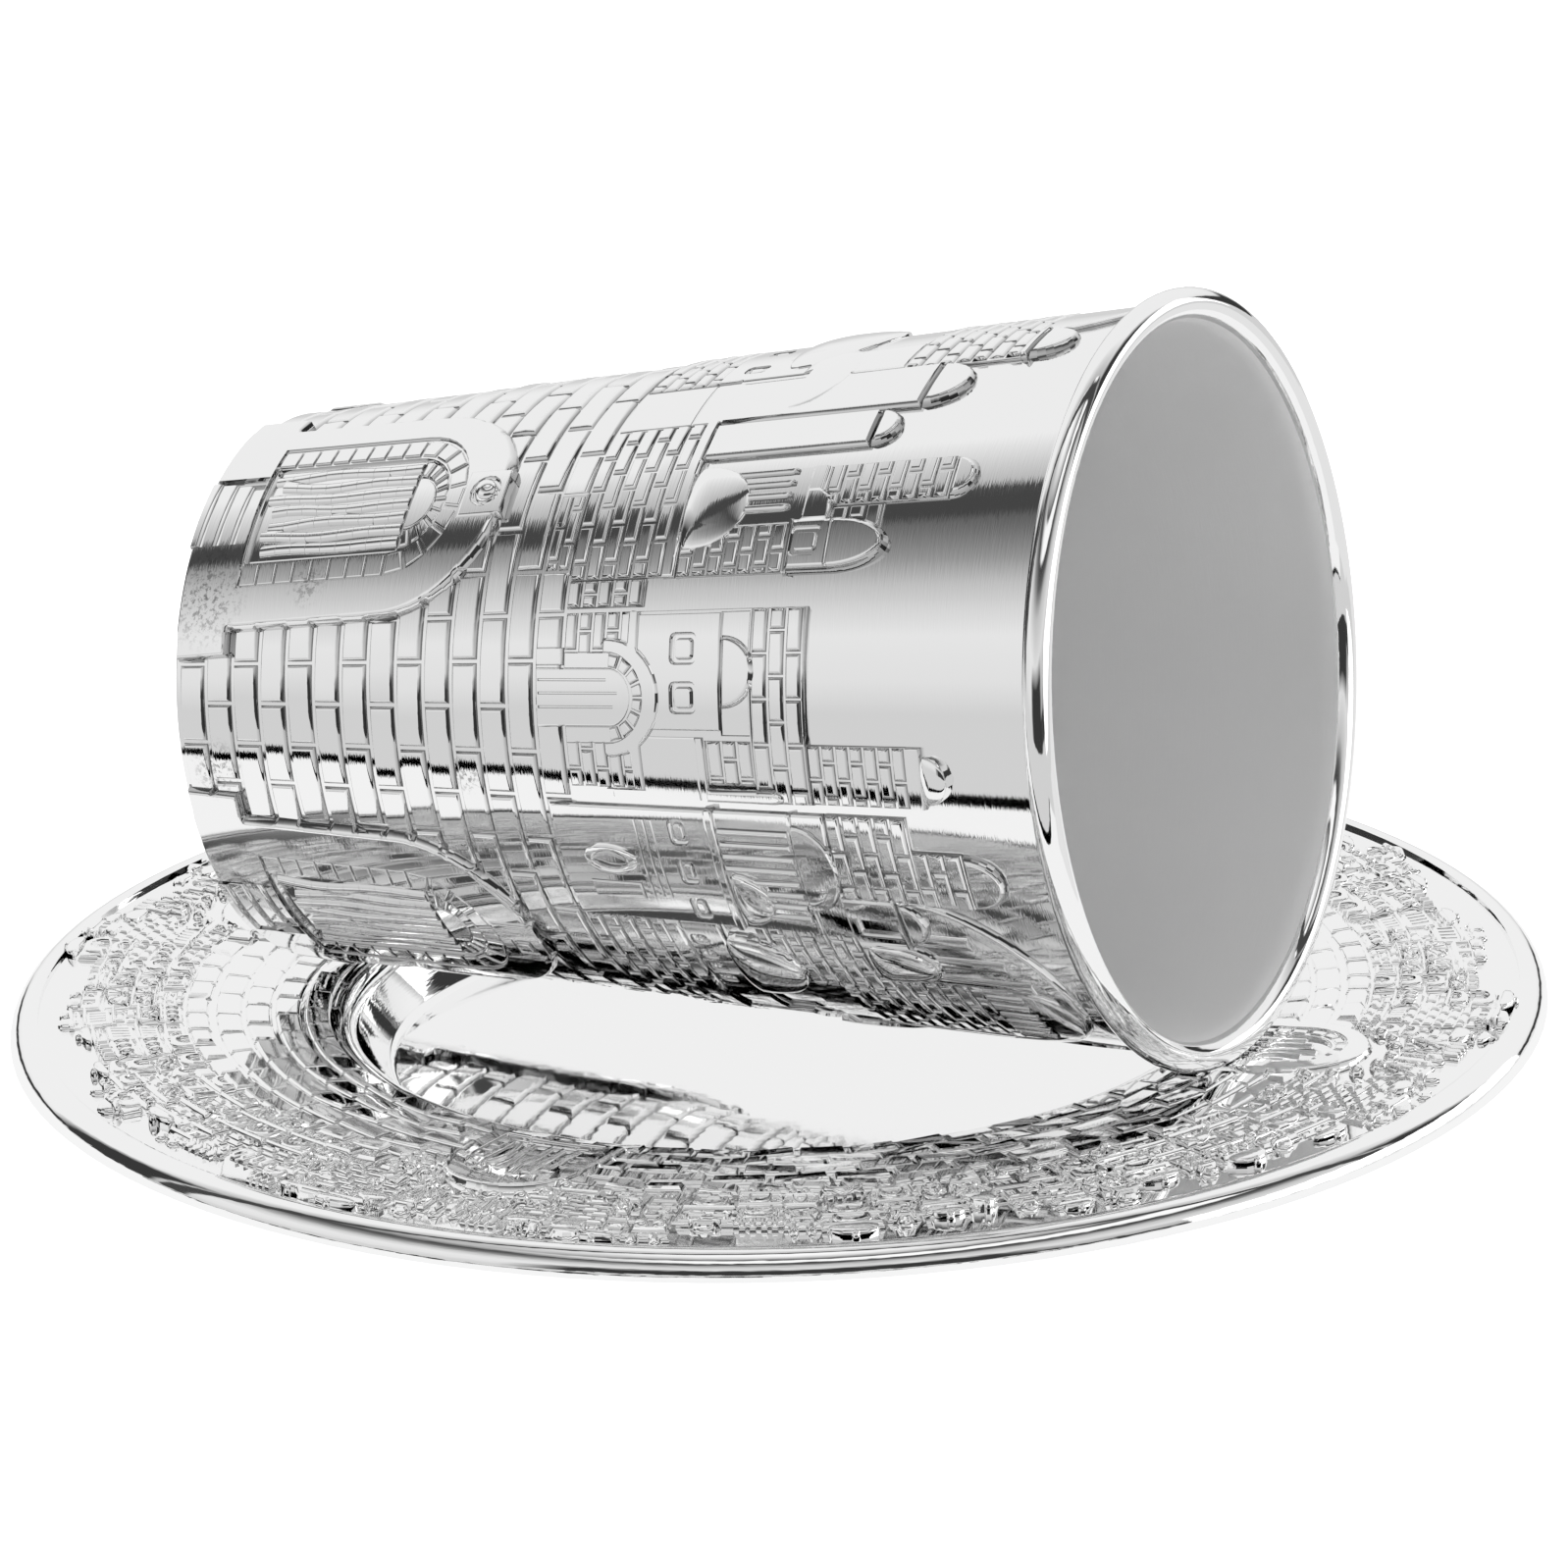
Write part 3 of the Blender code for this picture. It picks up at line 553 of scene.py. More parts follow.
class Solid:
    """Points, faces and corner normals of one closed mesh, in millimetres."""

    def __init__(self):
        self.points, self.parts, self.count = [], [], 0

    def add_points(self, points):
        first = self.count
        self.points.append(points)
        self.count += len(points)
        return first

    def add_faces(self, faces, normals, slot=0, painted_shade=None):
        """Triangles with a normal and a share of painted shade for each corner, which build() turns to agree
        with them.
        """
        painted_shade = np.zeros((len(faces), 3)) if painted_shade is None else painted_shade
        self.parts.append((faces, normals, np.full(len(faces), slot), painted_shade))

    def lathe(self, profile, ring, side, slot=0, closed=True):
        """Turns a profile of (radius, height), from an existing ring of points to its end disc.

        side is 1 where the outside lies right of the profile's direction, and -1 if left.
        Returns the last ring.
        """
        profile = np.array(profile, float)
        steps = np.diff(profile, axis=0)
        across = np.c_[steps[:, 1], -steps[:, 0]] * side
        across /= np.linalg.norm(across, axis=1)[:, None]
        count = len(ring)
        angles = np.radians(np.arange(count) * 360.0 / count)
        right = np.roll(np.arange(count), -1)
        for j, (radius, height) in enumerate(profile[1:]):
            first = self.add_points(turned(angles, radius, 0, height))
            following = np.arange(first, first + count)
            ends = []
            for neighbour in (j - 1, j + 1):
                normal = across[j]
                if 0 <= neighbour < len(across) and across[j] @ across[neighbour] > CREASE:
                    normal = across[j] + across[neighbour]
                ends.append(normal / np.linalg.norm(normal))
            near, far = [turned(angles, outward, 0, up) for outward, up in ends]
            for a, b, c, normals in (
                    (ring, ring[right], following, (near, near[right], far)),
                    (ring[right], following[right], following, (near[right], far[right], far))):
                self.add_faces(np.c_[a, b, c], np.stack(normals, axis=1), slot)
            ring = following
        if closed:
            middle = self.add_points([(0, 0, profile[-1, 1])])
            disc = np.c_[ring, ring[right], np.full(count, middle)]
            facing = np.broadcast_to((0, 0, np.sign(across[-1][1])), (count, 3, 3))
            self.add_faces(disc, facing, slot)
        return ring

    def carve(self, relief, place, face):
        """Lays every period of a relief on a turned surface. Returns its two border rings.

        place gives a point's radius and height, and face its normal's outward and upward parts.
        """
        spots, faces = relief.triangles()
        used, faces = np.unique(faces, return_inverse=True)
        faces = faces.reshape(-1, 3)
        spots = spots[used]
        height, _, _ = relief.measure(spots)
        low, high = spots[:, 1] < relief.foot + SLACK, spots[:, 1] > relief.head - SLACK
        height[low | high] = 0
        corners = spots[faces]
        probes = corners + (corners.mean(axis=1, keepdims=True) - corners) * PROBE_IN
        _, slopes, walled = relief.measure(probes.reshape(-1, 2))
        # Painted shade: each corner on a joint's wall gets a share of dark colour that grows with the wall's
        # slope
        painted_shade = walled * np.clip(np.linalg.norm(slopes, axis=1) / FULL_SHADE_SLOPE, 0, 1)
        left = in_order(spots[:, 0] < SLACK, spots[:, 1])
        right = in_order(spots[:, 0] > relief.width - SLACK, spots[:, 1])
        radius, up = place(spots[:, 1], height)
        outward, upward = face(corners.reshape(-1, 2)[:, 1], slopes[:, 1])
        around = -slopes[:, 0] * relief.radius / radius[faces].ravel()
        turns = round(360 / PERIOD)
        kept = np.ones(len(spots), bool)
        kept[right] = False
        new = np.cumsum(kept) - 1
        per_turn = int(kept.sum())
        foot_ring, head_ring = [], []
        for turn in range(turns):
            angle = np.radians((spots[:, 0] - SEAM) / relief.per_degree + turn * PERIOD)
            first = self.add_points(turned(angle, radius, 0, up)[kept])
            index = first + new
            index[right] = first + new[left] + per_turn
            if turn == turns - 1:
                index[right] -= turns * per_turn
            normals = turned(angle[faces].ravel(), outward, around, upward)
            self.add_faces(index[faces], normals.reshape(-1, 3, 3), painted_shade=painted_shade.reshape(-1, 3))
            for border, ring in ((low, foot_ring), (high, head_ring)):
                ring.append(index[in_order(border & kept, spots[:, 0])])
        return np.concatenate(foot_ring), np.concatenate(head_ring)

    def build(self, name, materials):
        points = np.concatenate(self.points) * MM
        faces, normals, slots, painted_shades = [np.concatenate(parts) for parts in zip(*self.parts)]
        normals /= np.linalg.norm(normals, axis=2, keepdims=True)
        a, b, c = points[faces[:, 0]], points[faces[:, 1]], points[faces[:, 2]]
        backward = np.sum(np.cross(b - a, c - a) * normals.mean(axis=1), axis=1) < 0
        for corners in (faces, normals, painted_shades):
            corners[backward] = corners[backward][:, ::-1]
        mesh = bpy.data.meshes.new(name)
        mesh.from_pydata(points.tolist(), [], faces.tolist())
        for material in materials:
            mesh.materials.append(material)
        mesh.polygons.foreach_set("material_index", slots)
        mesh.shade_smooth()
        mesh.normals_split_custom_set(normals.reshape(-1, 3).tolist())
        # Each corner's share of painted shade, which the silver reads
        mesh.attributes.new("painted_shade", "FLOAT", "CORNER").data.foreach_set("value", painted_shades.ravel())
        return show(name, mesh)


def wall_radius(height):
    return FOOT_RADIUS + (NECK_RADIUS - FOOT_RADIUS) * height / NECK_HEIGHT


def small_door(relief):
    """The arched door of the near house, with its tiles and a smooth hood."""
    spot = Place(relief, 76.75, wall_radius)
    spot.arch(0, 4.9, 44.5, 45.2, 50.2, 0.95, 0.35)
    spot.arch(0, 3.75, 40.6, 45, 48.7, 0.5, 0.15)
    spot.tiles(0, 45, (2.5, 2.5), (3.6, 3.6), 8, 0.8)
    relief.box(68, 71.2, 37.8, 40.4, 0.6, 0.15)
    spot.arch(0, 2.45, 37.6, 45, 47.2, 0.3, 0.2)
    for x in (-1.45, -0.35, 0.8):
        spot.bar(x, 0.12, 37.9, 46.2 - abs(x), -0.12, 0.08, True)


def portal(relief, centre, square_boss):
    """An arched portal: a thick plate with bordering tiles, a folded curtain and steps."""
    spot = Place(relief, centre, wall_radius)
    spot.arch(0, 10.9, 0.4, 21.3, 32.3, 1.15, 0.85, 29)
    spot.box(-13, 13, 0.4, 6, 1.15, 0.5)
    spot.box(-2.3, 2.4, 27.9, 32.4, 1.35, 0.3)
    if square_boss:
        spot.box(-0.2, 1.9, 29.2, 31.3, 1.15, 0.14)
        spot.box(0.2, 1.5, 29.6, 30.9, 1.45, 0.2)
    else:
        spot.add(arc((0, 30.2), (1.55, 1.55), 0, 360, 16)[:-1], 1.05, 0.3)
        relief.bead(centre, 30.2, 1.1 / relief.per_degree * 1.06, 1.1, 2.1, 20)
    spot.arch(0, 7.25, 6.35, 21.4, 27.9, 0.75, 0.2)
    spot.jambs(5.15, 7, 6.5, 1.865, 8, 1)
    spot.tiles(0, 21.35, (5.15, 4.7), (7, 6.4), 9, 1, 0.12)
    spot.arch(0, 4.95, 6.4, 21.3, 25.95, 0.4, 0.25)
    spot.tiles(0, 22.2, (2.8, 2.4), (4.45, 3.7), 10, 0.75, 0.2)
    spot.arch(0, 2.65, 22.2, 22.2, 24.6, 0.62, 0.15)
    curtain(spot)
    spot.box(-3.8, 3.2, 0.5, 6.3, 0.2, 0.2)
    for i in range(4):
        spot.box(-3.4, 3.2, 0.45, 6.25 - i * 1.55, 0.4 + i * 0.28, (0.1, 0.1, 0.5, 0.1))


def curtain(spot):
    """The door's folds: rounded ridges that wave a little and die out near the floor."""
    head, pieces = 22.1, 9
    spot.box(-4.8, 4.8, 6.4, head, 0.5, 0.15)
    starts, pitch = spread(-4.5, 4.5, 7)
    for start in starts:
        swing, phase = draw(0.12, 0.3), draw(0, 6.28)
        end = 6.9 + draw(0, 1.6)
        line = []
        for j in range(pieces + 1):
            share = j / pieces
            sway = swing * (1.15 - share) * math.sin(phase + 7.5 * share)
            line.append((start + sway, end + (head - end) * share))
        spot.ridge(line, pitch * 0.94, 0.88)


def carve_cup():
    relief = Relief((FOOT_RADIUS + NECK_RADIUS) / 2, BAND_FOOT, NECK_HEIGHT)
    relief.blocks(*CUP_BLOCKS)
    relief.paint(FAR_TOWN + MIDDLE_TOWN + NEAR_TOWN)
    small_door(relief)
    portal(relief, PORTAL_AT, False)
    portal(relief, PORTAL_AT + 90, True)
    return relief


def build_cup(materials):
    solid = Solid()
    climb = (NECK_RADIUS - FOOT_RADIUS) / NECK_HEIGHT

    def place(height, carved):
        return wall_radius(height) + carved, height

    def face(height, slope):
        return 1, -(climb + slope)

    foot_ring, head_ring = solid.carve(carve_cup(), place, face)
    foot = wall_radius(BAND_FOOT)
    lower = [(foot, BAND_FOOT)] + arc((foot - 0.25, 0.2), (0.25, 0.2), -15, -90, 4)
    lower += [(20.9, 0), (20.6, 0.1), (20.3, 0.5), (20, 0.6), (0.4, 0.6)]
    solid.lathe(lower, foot_ring, -1)
    upper = [(wall_radius(NECK_HEIGHT), NECK_HEIGHT), (31.3, 85.1), (31.28, 85.2)]
    upper += arc(LIP_MIDDLE, LIP_SIZE, -75, 180, 20)
    lip_ring = solid.lathe(upper, head_ring, 1, closed=False)
    inner = [upper[-1], (30.2, 85.6), (wall_radius(84.8) - WALL, 84.8)]
    bend = (wall_radius(FLOOR) - WALL - FLOOR_BEND, FLOOR + FLOOR_BEND)
    inner += arc(bend, (FLOOR_BEND, FLOOR_BEND), 5, -90, 8) + [(0.4, FLOOR)]
    solid.lathe(inner, lip_ring, 1, slot=1)
    return solid.build("cup_body", materials)


def ring_rest(radius):
    """The share of the saucer's ring that lies outward of a radius."""
    return 1 - np.clip((radius - SHOULDER_RADIUS) / RING_WIDTH, 0, 1)


def ring_height(radius):
    """Height of the saucer's bare ring, which levels off towards the rim."""
    return RING_TOP - SHOULDER_DROP * ring_rest(radius) ** 2


def ring_portal(ring, centre):
    """A portal on the saucer, its foot at the shoulder and its arch outward."""
    spot = Place(ring, centre, lambda radius: radius)
    spot.arch(0, 6.3, 41.6, 49.6, 55.7, 0.85, 0.5)
    spot.arch(0, 4.6, 42.4, 49, 53.6, 0.55, 0.15)
    spot.tiles(0, 49, (3.5, 3.5), (4.5, 4.5), 8, 0.7)
    spot.jambs(3.5, 4.5, 43.1, 1.45, 4, 0.7)
    spot.arch(0, 3.3, 43, 49, 52.2, 0.25, 0.2)
    for i in range(5):
        start = -2.6 + i * 1.3
        sway = draw(-0.25, 0.25, 4)
        line = [(start + sway[j], 43.3 + j * (2.6 - abs(start) * 0.25)) for j in range(4)]
        spot.ridge(line, 0.9, 0.5)
    spot.box(-2.4, 2.4, 41.4, 43.2, 0.5, 0.2)
    spot.box(-2.4, 2.4, 41.4, 42.3, 0.7, 0.2)
    for x, y in arc((centre, 50.6), (7.3, 7.2), 20, 160, 8):
        ring.bead(x, y, 0.75, 0.7, 1, 8)


def ring_cell(ring, kind, left, right, low, high, level):
    """One storey of a house on the ring, decorated in one of a few ways."""
    centre, half, tall = (left + right) / 2, (right - left) / 2, high - low
    if kind == "bricks":
        ring.bricks(left, right, low, high, max(2, round(tall / 0.95)), 1.9, level, 0.12)
        return
    ring.box(left, right, low, high, level, 0.3, tilt=lean(RING_LEAN))
    if kind == "slots":
        margin, count = tall * 0.2, round(half * 1.6) + 1
        ring.slots(left + 0.4, right - 0.4, low + margin, high - margin, count, 0.45, 0.6)
    elif kind == "arch":
        ring.arch(centre, half * 0.85, low, low + tall * 0.35, high, level + 0.35, 0.25, 10)
        ring.arch(centre, half * 0.55, low, low + tall * 0.3, high - 0.7, level - 0.4, 0.2, 8)
        ring.bar(centre, 0.25, low, high - 1, level, 0.15)
    elif kind == "shell":
        wide, deep = half * 0.9, tall * 0.95
        ring.dome(centre, wide, low, low + deep, level + 0.3, 10)
        ring.tiles(centre, low, (wide * 0.25, deep * 0.25), (wide, deep), 7, level + 0.45, 0.3, 0.25)
        ring.bead(centre, low + 0.3, half * 0.25, 0.5, level + 0.8, 8)
    elif kind == "beads":
        middles, pitch = spread(left, right, round(half) + 1)
        for middle in middles:
            ring.bead(middle, low + tall / 2, 0.42 * pitch, tall * 0.32, level + 0.45, 8)
    elif kind == "panes":
        for middle in (centre - half * 0.45, centre + half * 0.45):
            ring.bar(middle, half * 0.3, low + 0.5, high - 0.4, level - 0.35, 0.2)
            ring.bead(middle, low + tall / 2, half * 0.16, tall * 0.2, level + 0.1, 8)


def ring_roof(ring, kind, left, right, low, high, level):
    """What stands on a house of the ring, against the plain band."""
    centre, half, tall = (left + right) / 2, (right - left) / 2, high - low
    if kind == "dome":
        ring.dome(centre, half * 0.9, low, high, level + 0.45, 12)
        ring.bead(centre, high, 0.35, 0.35, level + 0.3, 8)
    elif kind == "tower":
        ring.arch(centre, half * 0.45, low - 1, high - 0.9, high, level + 0.25, 0.35, 8)
        ring.bar(centre, half * 0.6, high - 1.6, high - 1, level + 0.5, 0.2)
        ring.slots(centre - half * 0.35, centre + half * 0.35, low, high - 2, 2, 0.3)
    elif kind == "pair":
        for share in (-0.55, 0.5):
            top = high - draw(0, 0.35) * tall
            ring.arch(centre + half * share, half * 0.32, low - 0.5, top - 0.6, top, level + 0.3, 0.3, 8)
    elif kind == "comb":
        for share in (-0.7, -0.25, 0.25, 0.7):
            ring.bar(centre + half * share, half * 0.15, low - 0.3, high - tall * 0.3, level + 0.2, 0.2)


def ring_town(ring, centre, mirrored):
    """Houses over a quarter of the ring, from one portal to the next, in storeys up to a roof."""
    offset = TOWN_START
    while offset < TOWN_END - 0.5:
        width = min(draw(2.8, 5), TOWN_END - offset)
        first, last = offset, offset + width
        if mirrored:
            first, last = 90 - last, 90 - first
        left, right = centre + first + 0.15, centre + last - 0.15
        top = float(np.interp((first + last) / 2, *zip(*SKYLINE))) + draw(-0.4, 0.4)
        level = draw(0.35, 0.75)
        low = TOWN_FOOT
        while low < top - 2.1:
            high = min(low + draw(1.6, 2.6), top - 1.3)
            kind = CELL_KINDS[RANDOM.integers(len(CELL_KINDS))]
            lean_in = draw(0, 0.5)
            ring_cell(ring, kind, left + lean_in, right - lean_in, low, high, level)
            if draw() < 0.6:
                ring.box(left - 0.2, right + 0.2, high - 0.25, high + 0.25, level + 0.3, 0.22)
            low = high + 0.2
            level += draw(-0.15, 0.12)
        ring_roof(ring, ROOF_KINDS[RANDOM.integers(len(ROOF_KINDS))], left, right, low, top, level)
        offset += width


def carve_ring():
    ring = Relief((SHOULDER_RADIUS + RING_OUTER) / 2, SHOULDER_RADIUS + 0.1, BAND_HEAD)
    ring.blocks(*RING_BLOCKS)
    for i in range(40):
        left = RING_PORTAL_AT + i * 4.5 + draw(-0.5, 0.5)
        tilt = lean(RING_LEAN) * 1.5
        ring.box(left + 0.35, left + 4.2, 49.8 + draw(0, 0.4), 52.1, 0.6, 0.4, tilt=tilt)
    ring.bar(RING_PORTAL_AT, 90, TOWN_FOOT, 59.4, 0.15, 0.3)
    ring_town(ring, RING_PORTAL_AT, False)
    ring_town(ring, RING_PORTAL_AT + 90, True)
    for centre in (RING_PORTAL_AT, RING_PORTAL_AT + 90):
        for i, kind in enumerate(("bricks", "shell", "panes", "shell", "bricks")):
            left, top = centre - 8 + i * 3.2, 61 + 0.9 * (i % 2)
            ring_cell(ring, kind, left + 0.1, left + 3.1, 58, top, 0.5)
            ring_roof(ring, ROOF_KINDS[i], left, left + 3.2, top, top + 1.8, 0.45)
        for tower_at in (centre - 10.5, centre + 10.5):
            ring_cell(ring, "bricks", tower_at - 2.4, tower_at + 2.4, 56, 62.6, 0.75)
            ring_roof(ring, "tower", tower_at - 2.6, tower_at + 2.6, 62.6, 65.3, 0.75)
        ring_portal(ring, centre)
    return ring


def build_saucer(materials):
    solid, relief = Solid(), carve_ring()

    def place(radius, carved):
        return radius, ring_height(radius) + carved

    def face(radius, slope):
        return -(2 * SHOULDER_DROP * ring_rest(radius) / RING_WIDTH + slope), 1

    inner_ring, outer_ring = solid.carve(relief, place, face)
    shoulder, foot = ring_height(SHOULDER_RADIUS), SAUCER_HEIGHT - RIM_SKIRT
    outer = [(relief.head, ring_height(relief.head))]
    outer += arc((65.6, SAUCER_HEIGHT - 2.1), (1.9, 2.1), 108, 0, 18)
    outer += [(SAUCER_RADIUS, foot + 0.2), (SAUCER_RADIUS - 0.2, foot), (SAUCER_RADIUS - SHEET, foot),
              (SAUCER_RADIUS - SHEET, foot + 0.4), (SAUCER_RADIUS - RIM_WIDTH, 6.5),
              (SHOULDER_RADIUS + SHEET, shoulder - SHEET), (WELL_RADIUS + SHEET + 0.6, 0.35),
              (WELL_RADIUS + 0.55, 0), (0.4, 0)]
    solid.lathe(outer, outer_ring, -1)
    inner = [(relief.foot, ring_height(relief.foot)), (SHOULDER_RADIUS, shoulder)]
    inner += arc((SHOULDER_RADIUS - 0.2, shoulder - 2), (2, 2), 80, 170, 10)
    inner += arc((WELL_RADIUS + 0.6, WELL_FLOOR + 1), (1, 1), -20, -90, 6) + [(0.4, WELL_FLOOR)]
    solid.lathe(inner, inner_ring, 1)
    return solid.build("saucer_body", materials)


def cup_matrix():
    heading, rise = math.radians(CUP_HEADING), math.radians(CUP_RISE)
    level = math.cos(rise)
    axis = Vector((level * math.cos(heading), level * math.sin(heading), math.sin(rise)))
    side = Vector((0, 0, 1)).cross(axis).normalized()
    turn = Matrix((axis.cross(side), -side, axis)).transposed()
    return Matrix.Translation(Vector(CUP_PLACE) * MM) @ turn.to_4x4()


class Nodes:
    """Shorthand for adding and joining the nodes of a material or a world."""

    def __init__(self, tree):
        self.tree = tree
        tree.nodes.clear()

    def add(self, kind, values=(), **settings):
        node = self.tree.nodes.new(kind)
        for name, value in settings.items():
            setattr(node, name, value)
        for name, value in dict(values).items():
            if isinstance(value, bpy.types.NodeSocket):
                self.tree.links.new(value, node.inputs[name])
            else:
                node.inputs[name].default_value = value
        return node

    def noise(self, vector, scale, detail=4, roughness=0.6):
        values = {"Vector": vector, "Scale": scale, "Detail": detail, "Roughness": roughness}
        return self.add("ShaderNodeTexNoise", values).outputs["Fac"]

    def map(self, value, low, high, to_low=0, to_high=1):
        values = {0: value, 1: low, 2: high, 3: to_low, 4: to_high}
        return self.add("ShaderNodeMapRange", values).outputs[0]

    def math(self, operation, *values):
        return self.add("ShaderNodeMath", dict(enumerate(values)), operation=operation).outputs[0]

    def both(self, one, other):
        return self.math("MULTIPLY", one, other)

    def either(self, one, other):
        return self.math("MAXIMUM", one, other)

    def mix(self, share, grey, other):
        """The other grey where the share is 1."""
        return self.add("ShaderNodeMix", {0: share, 2: grey, 3: other}).outputs[0]

    def ramp(self, height, greys):
        """A grey that follows the height of a direction, between the places given."""
        node = self.add("ShaderNodeValToRGB", {0: self.map(height, -1, 1)})
        stops = node.color_ramp.elements
        for place, grey in greys:
            stops.new((place + 1) / 2).color = (grey, grey, grey, 1)
        stops.remove(stops[0])
        stops.remove(stops[-1])
        return node.outputs[0]

    def surface(self, values):
        shader = self.add("ShaderNodeBsdfPrincipled", values)
        self.add("ShaderNodeOutputMaterial", {"Surface": shader.outputs[0]})


def new_material(name):
    material = bpy.data.materials.new(name)
    material.use_nodes = True
    return material, Nodes(material.node_tree)


def silver(name, grey, roughness, grain, shade=0, stains=()):
    """Silver plate with faint wear and fine scratches, with painted shade on the steep walls of its joints
    and tarnish specks about some points.
    """
    material, nodes = new_material(name)
    spot = nodes.add("ShaderNodeTexCoord").outputs["Object"]
    wear = nodes.noise(spot, 110, 1)
    painted_shade = nodes.add("ShaderNodeAttribute", attribute_name="painted_shade").outputs["Fac"]
    # Painted shade: the walls of joints turn towards the dark grey by the given strength of shade
    dark = nodes.map(painted_shade, 0.2, 1, 0, shade)
    if stains:
        stained = 0
        for middle, radius in stains:
            away = nodes.add("ShaderNodeVectorMath", {0: spot, 1: middle}, operation="DISTANCE")
            near = nodes.map(away.outputs["Value"], 0, radius, 0.9, 0)
            stained = nodes.either(stained, near)
        specks = nodes.map(nodes.noise(spot, 2200, 3, 0.7), 0.50, 0.60)
        dark = nodes.either(dark, nodes.both(specks, stained))
    # The dark grey serves both the painted shade on joint walls and the tarnish specks
    colour = nodes.add("ShaderNodeMix", {0: dark, 6: (grey, grey, grey, 1), 7: SHADE_AND_TARNISH}, data_type="RGBA")
    scratches = nodes.add("ShaderNodeMapping", {"Vector": spot, "Scale": (1, 1, 14)}).outputs[0]
    fine = nodes.noise(scratches, 500, 1)
    bump = nodes.add("ShaderNodeBump", {"Height": fine, "Strength": grain, "Distance": SCRATCH_DEPTH})
    nodes.surface({"Base Color": colour.outputs[2], "Metallic": 1, "Normal": bump.outputs[0],
                   "Roughness": nodes.map(wear, 0.3, 0.7, *roughness)})
    return material


def matt(name, grey, glow):
    """A matt grey that also glows white."""
    material, nodes = new_material(name)
    nodes.surface({"Base Color": (grey, grey, grey, 1), "Roughness": 1, "Specular IOR Level": 0,
                   "Emission Color": (1, 1, 1, 1), "Emission Strength": glow})
    material.cycles.emission_sampling = "NONE"
    return material


def build_world():
    """A grey room that darkens upward, with a white tent behind the object and dark parts.

    The silver mirrors the dark parts as black lines: a slit before the tent, the tent's flanks
    and low sides, and the low part behind the camera.
    """
    world = bpy.data.worlds.new("studio")
    bpy.context.scene.world = world
    world.use_nodes = True
    world.cycles.sampling_method = "NONE"
    nodes = Nodes(world.node_tree)
    direction = nodes.add("ShaderNodeTexCoord").outputs["Generated"]
    x, y, z = nodes.add("ShaderNodeSeparateXYZ", {0: direction}).outputs
    both, either, part, mix = nodes.both, nodes.either, nodes.map, nodes.mix
    tent = part(y, 0.21, 0.45, *TENT_GREYS)
    inside = both(part(y, 0.200, 0.215), part(z, 0, 0.2))
    beside = both(part(x, -0.5, -0.2), part(y, 0.5, 0.7, 1, 0))
    room = mix(beside, nodes.ramp(z, ROOM_GREYS), nodes.ramp(z, BESIDE_GREYS))
    slit = both(part(y, 0.06, 0.08), part(y, 0.17, 0.19, 1, 0))
    light = mix(slit, mix(inside, room, tent), SLIT_GREY)
    aside = nodes.math("ABSOLUTE", x)
    horizon = both(part(aside, 0.28, 0.34), part(z, 0.07, 0.1, 1, 0))
    flanks = either(part(aside, 0.74, 0.82), horizon)
    flanks = both(flanks, part(y, 0.18, 0.22))
    viewer = both(part(y, -0.85, -0.75, 1, 0), part(z, 0.25, 0.35, 1, 0))
    light = mix(either(flanks, viewer), light, DARK_GREY)
    background = nodes.add("ShaderNodeBackground", {"Color": light})
    nodes.add("ShaderNodeOutputWorld", {"Surface": background.outputs[0]})


def show(name, data):
    """A new object in the scene."""
    shown = bpy.data.objects.new(name, data)
    bpy.context.scene.collection.objects.link(shown)
    return shown


def sheet(name, corners, material):
    """One flat face. Its corners are in millimetres."""
    mesh = bpy.data.meshes.new(name)
    mesh.from_pydata([Vector(corner) * MM for corner in corners], [], [(0, 1, 2, 3)])
    mesh.materials.append(material)
    return show(name, mesh)


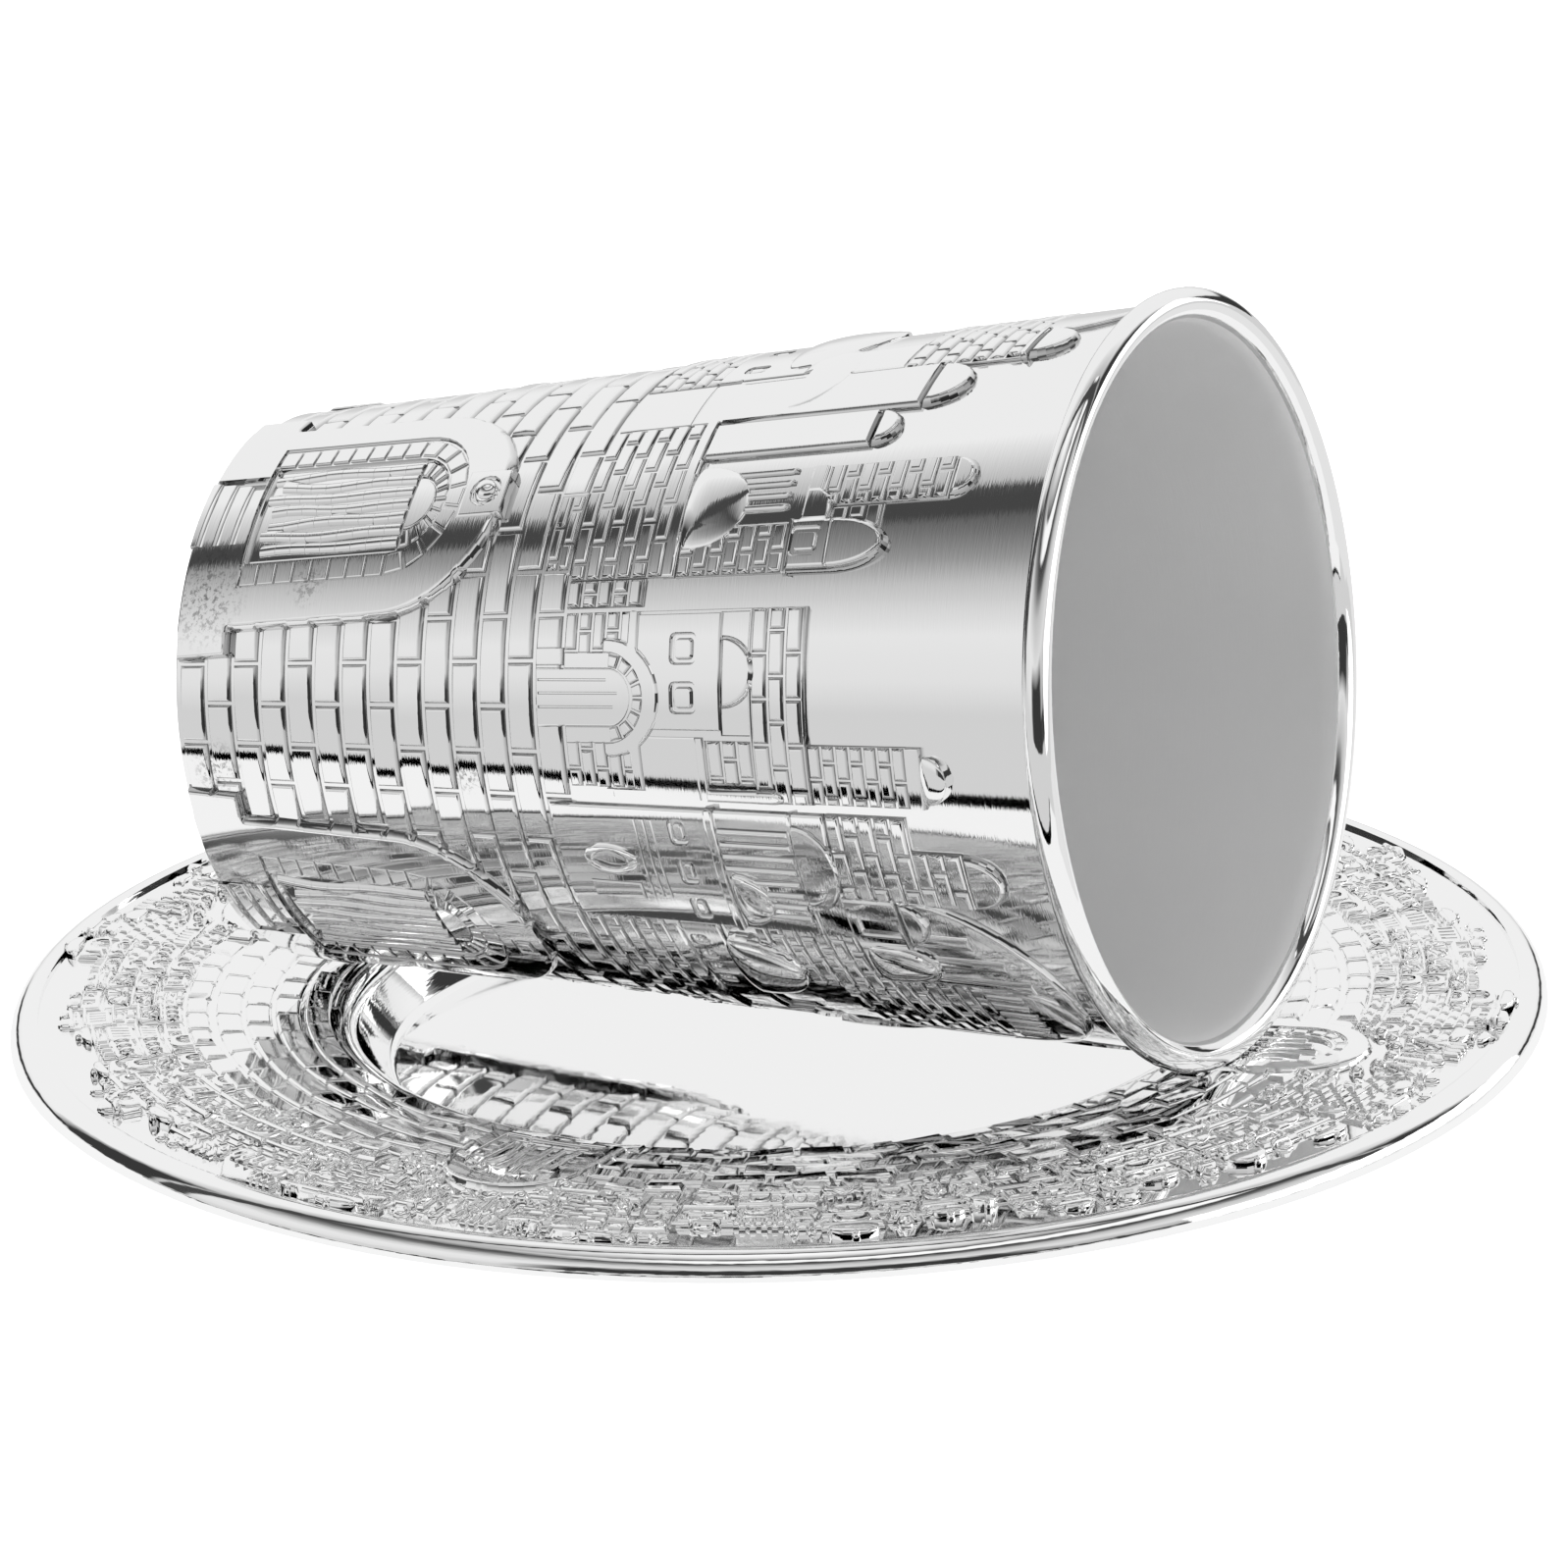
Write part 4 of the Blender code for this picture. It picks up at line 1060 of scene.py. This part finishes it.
def build_card(name, corners, glow):
    """A card that only the silver shows."""
    card = sheet(name, corners, matt(name, 0, glow))
    card.visible_camera = card.visible_shadow = card.visible_diffuse = False
    return card


def build_lamp():
    """A soft lamp aimed at the object, which lights the floor and isn't mirrored in the silver."""
    lamp = bpy.data.lights.new("overhead", "AREA")
    lamp.shape = "DISK"
    lamp.size, lamp.energy = LAMP_SIZE, LAMP_POWER
    place = show("overhead", lamp)
    place.location = LAMP_PLACE
    place.rotation_euler = (-Vector(LAMP_PLACE)).to_track_quat("-Z", "Y").to_euler()
    place.visible_glossy = False
    return place


def build_camera():
    camera = bpy.data.cameras.new("camera")
    camera.sensor_width, camera.lens = 36.0, CAMERA_LENS
    camera.clip_start, camera.clip_end = 0.01, 10.0
    place = show("camera", camera)
    ahead = Vector(CAMERA_AHEAD).normalized()
    right = ahead.cross(Vector((0, 0, 1))).normalized()
    up = right.cross(ahead)
    turn = Matrix((right, up, -ahead)).transposed().to_4x4()
    roll = Matrix.Rotation(math.radians(CAMERA_ROLL), 4, "Z")
    place.matrix_world = Matrix.Translation(Vector(CAMERA_PLACE) * MM) @ turn @ roll
    bpy.context.scene.camera = place
    return place


def main():
    angles, heights, radii = np.array(STAINS).T
    places = turned(np.radians(angles), wall_radius(heights), 0, heights)
    stains = list(zip((places * MM).tolist(), (radii * MM).tolist()))
    polished = silver("polished_silver", *POLISHED)
    # The cup's silver has tarnish stains and painted shade on the walls of its joints
    stained = silver("stained_and_shaded_silver", *STAINED, JOINT_SHADE, stains)
    cup = build_cup([stained, silver("satin_silver", *SATIN)])
    cup.matrix_world = cup_matrix()
    saucer = build_saucer([polished])
    for piece, node, slot in ((cup, "cup", "cup_silver"), (saucer, "saucer", "saucer_silver")):
        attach(piece, "root")
        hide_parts(node)
    build_world()
    lamp = build_lamp()
    # The floor lies over the far card, and the silver mirrors the cards instead of it
    floor = sheet("floor", [(x, y, 0) for x, y, _ in CARDS[0][1]], matt("pale_floor", FLOOR_GREY, FLOOR_GLOW))
    floor.visible_glossy = False
    cards = [build_card(*card) for card in CARDS]
    build_camera()
    bpy.context.scene.view_settings.view_transform = "Standard"


main()
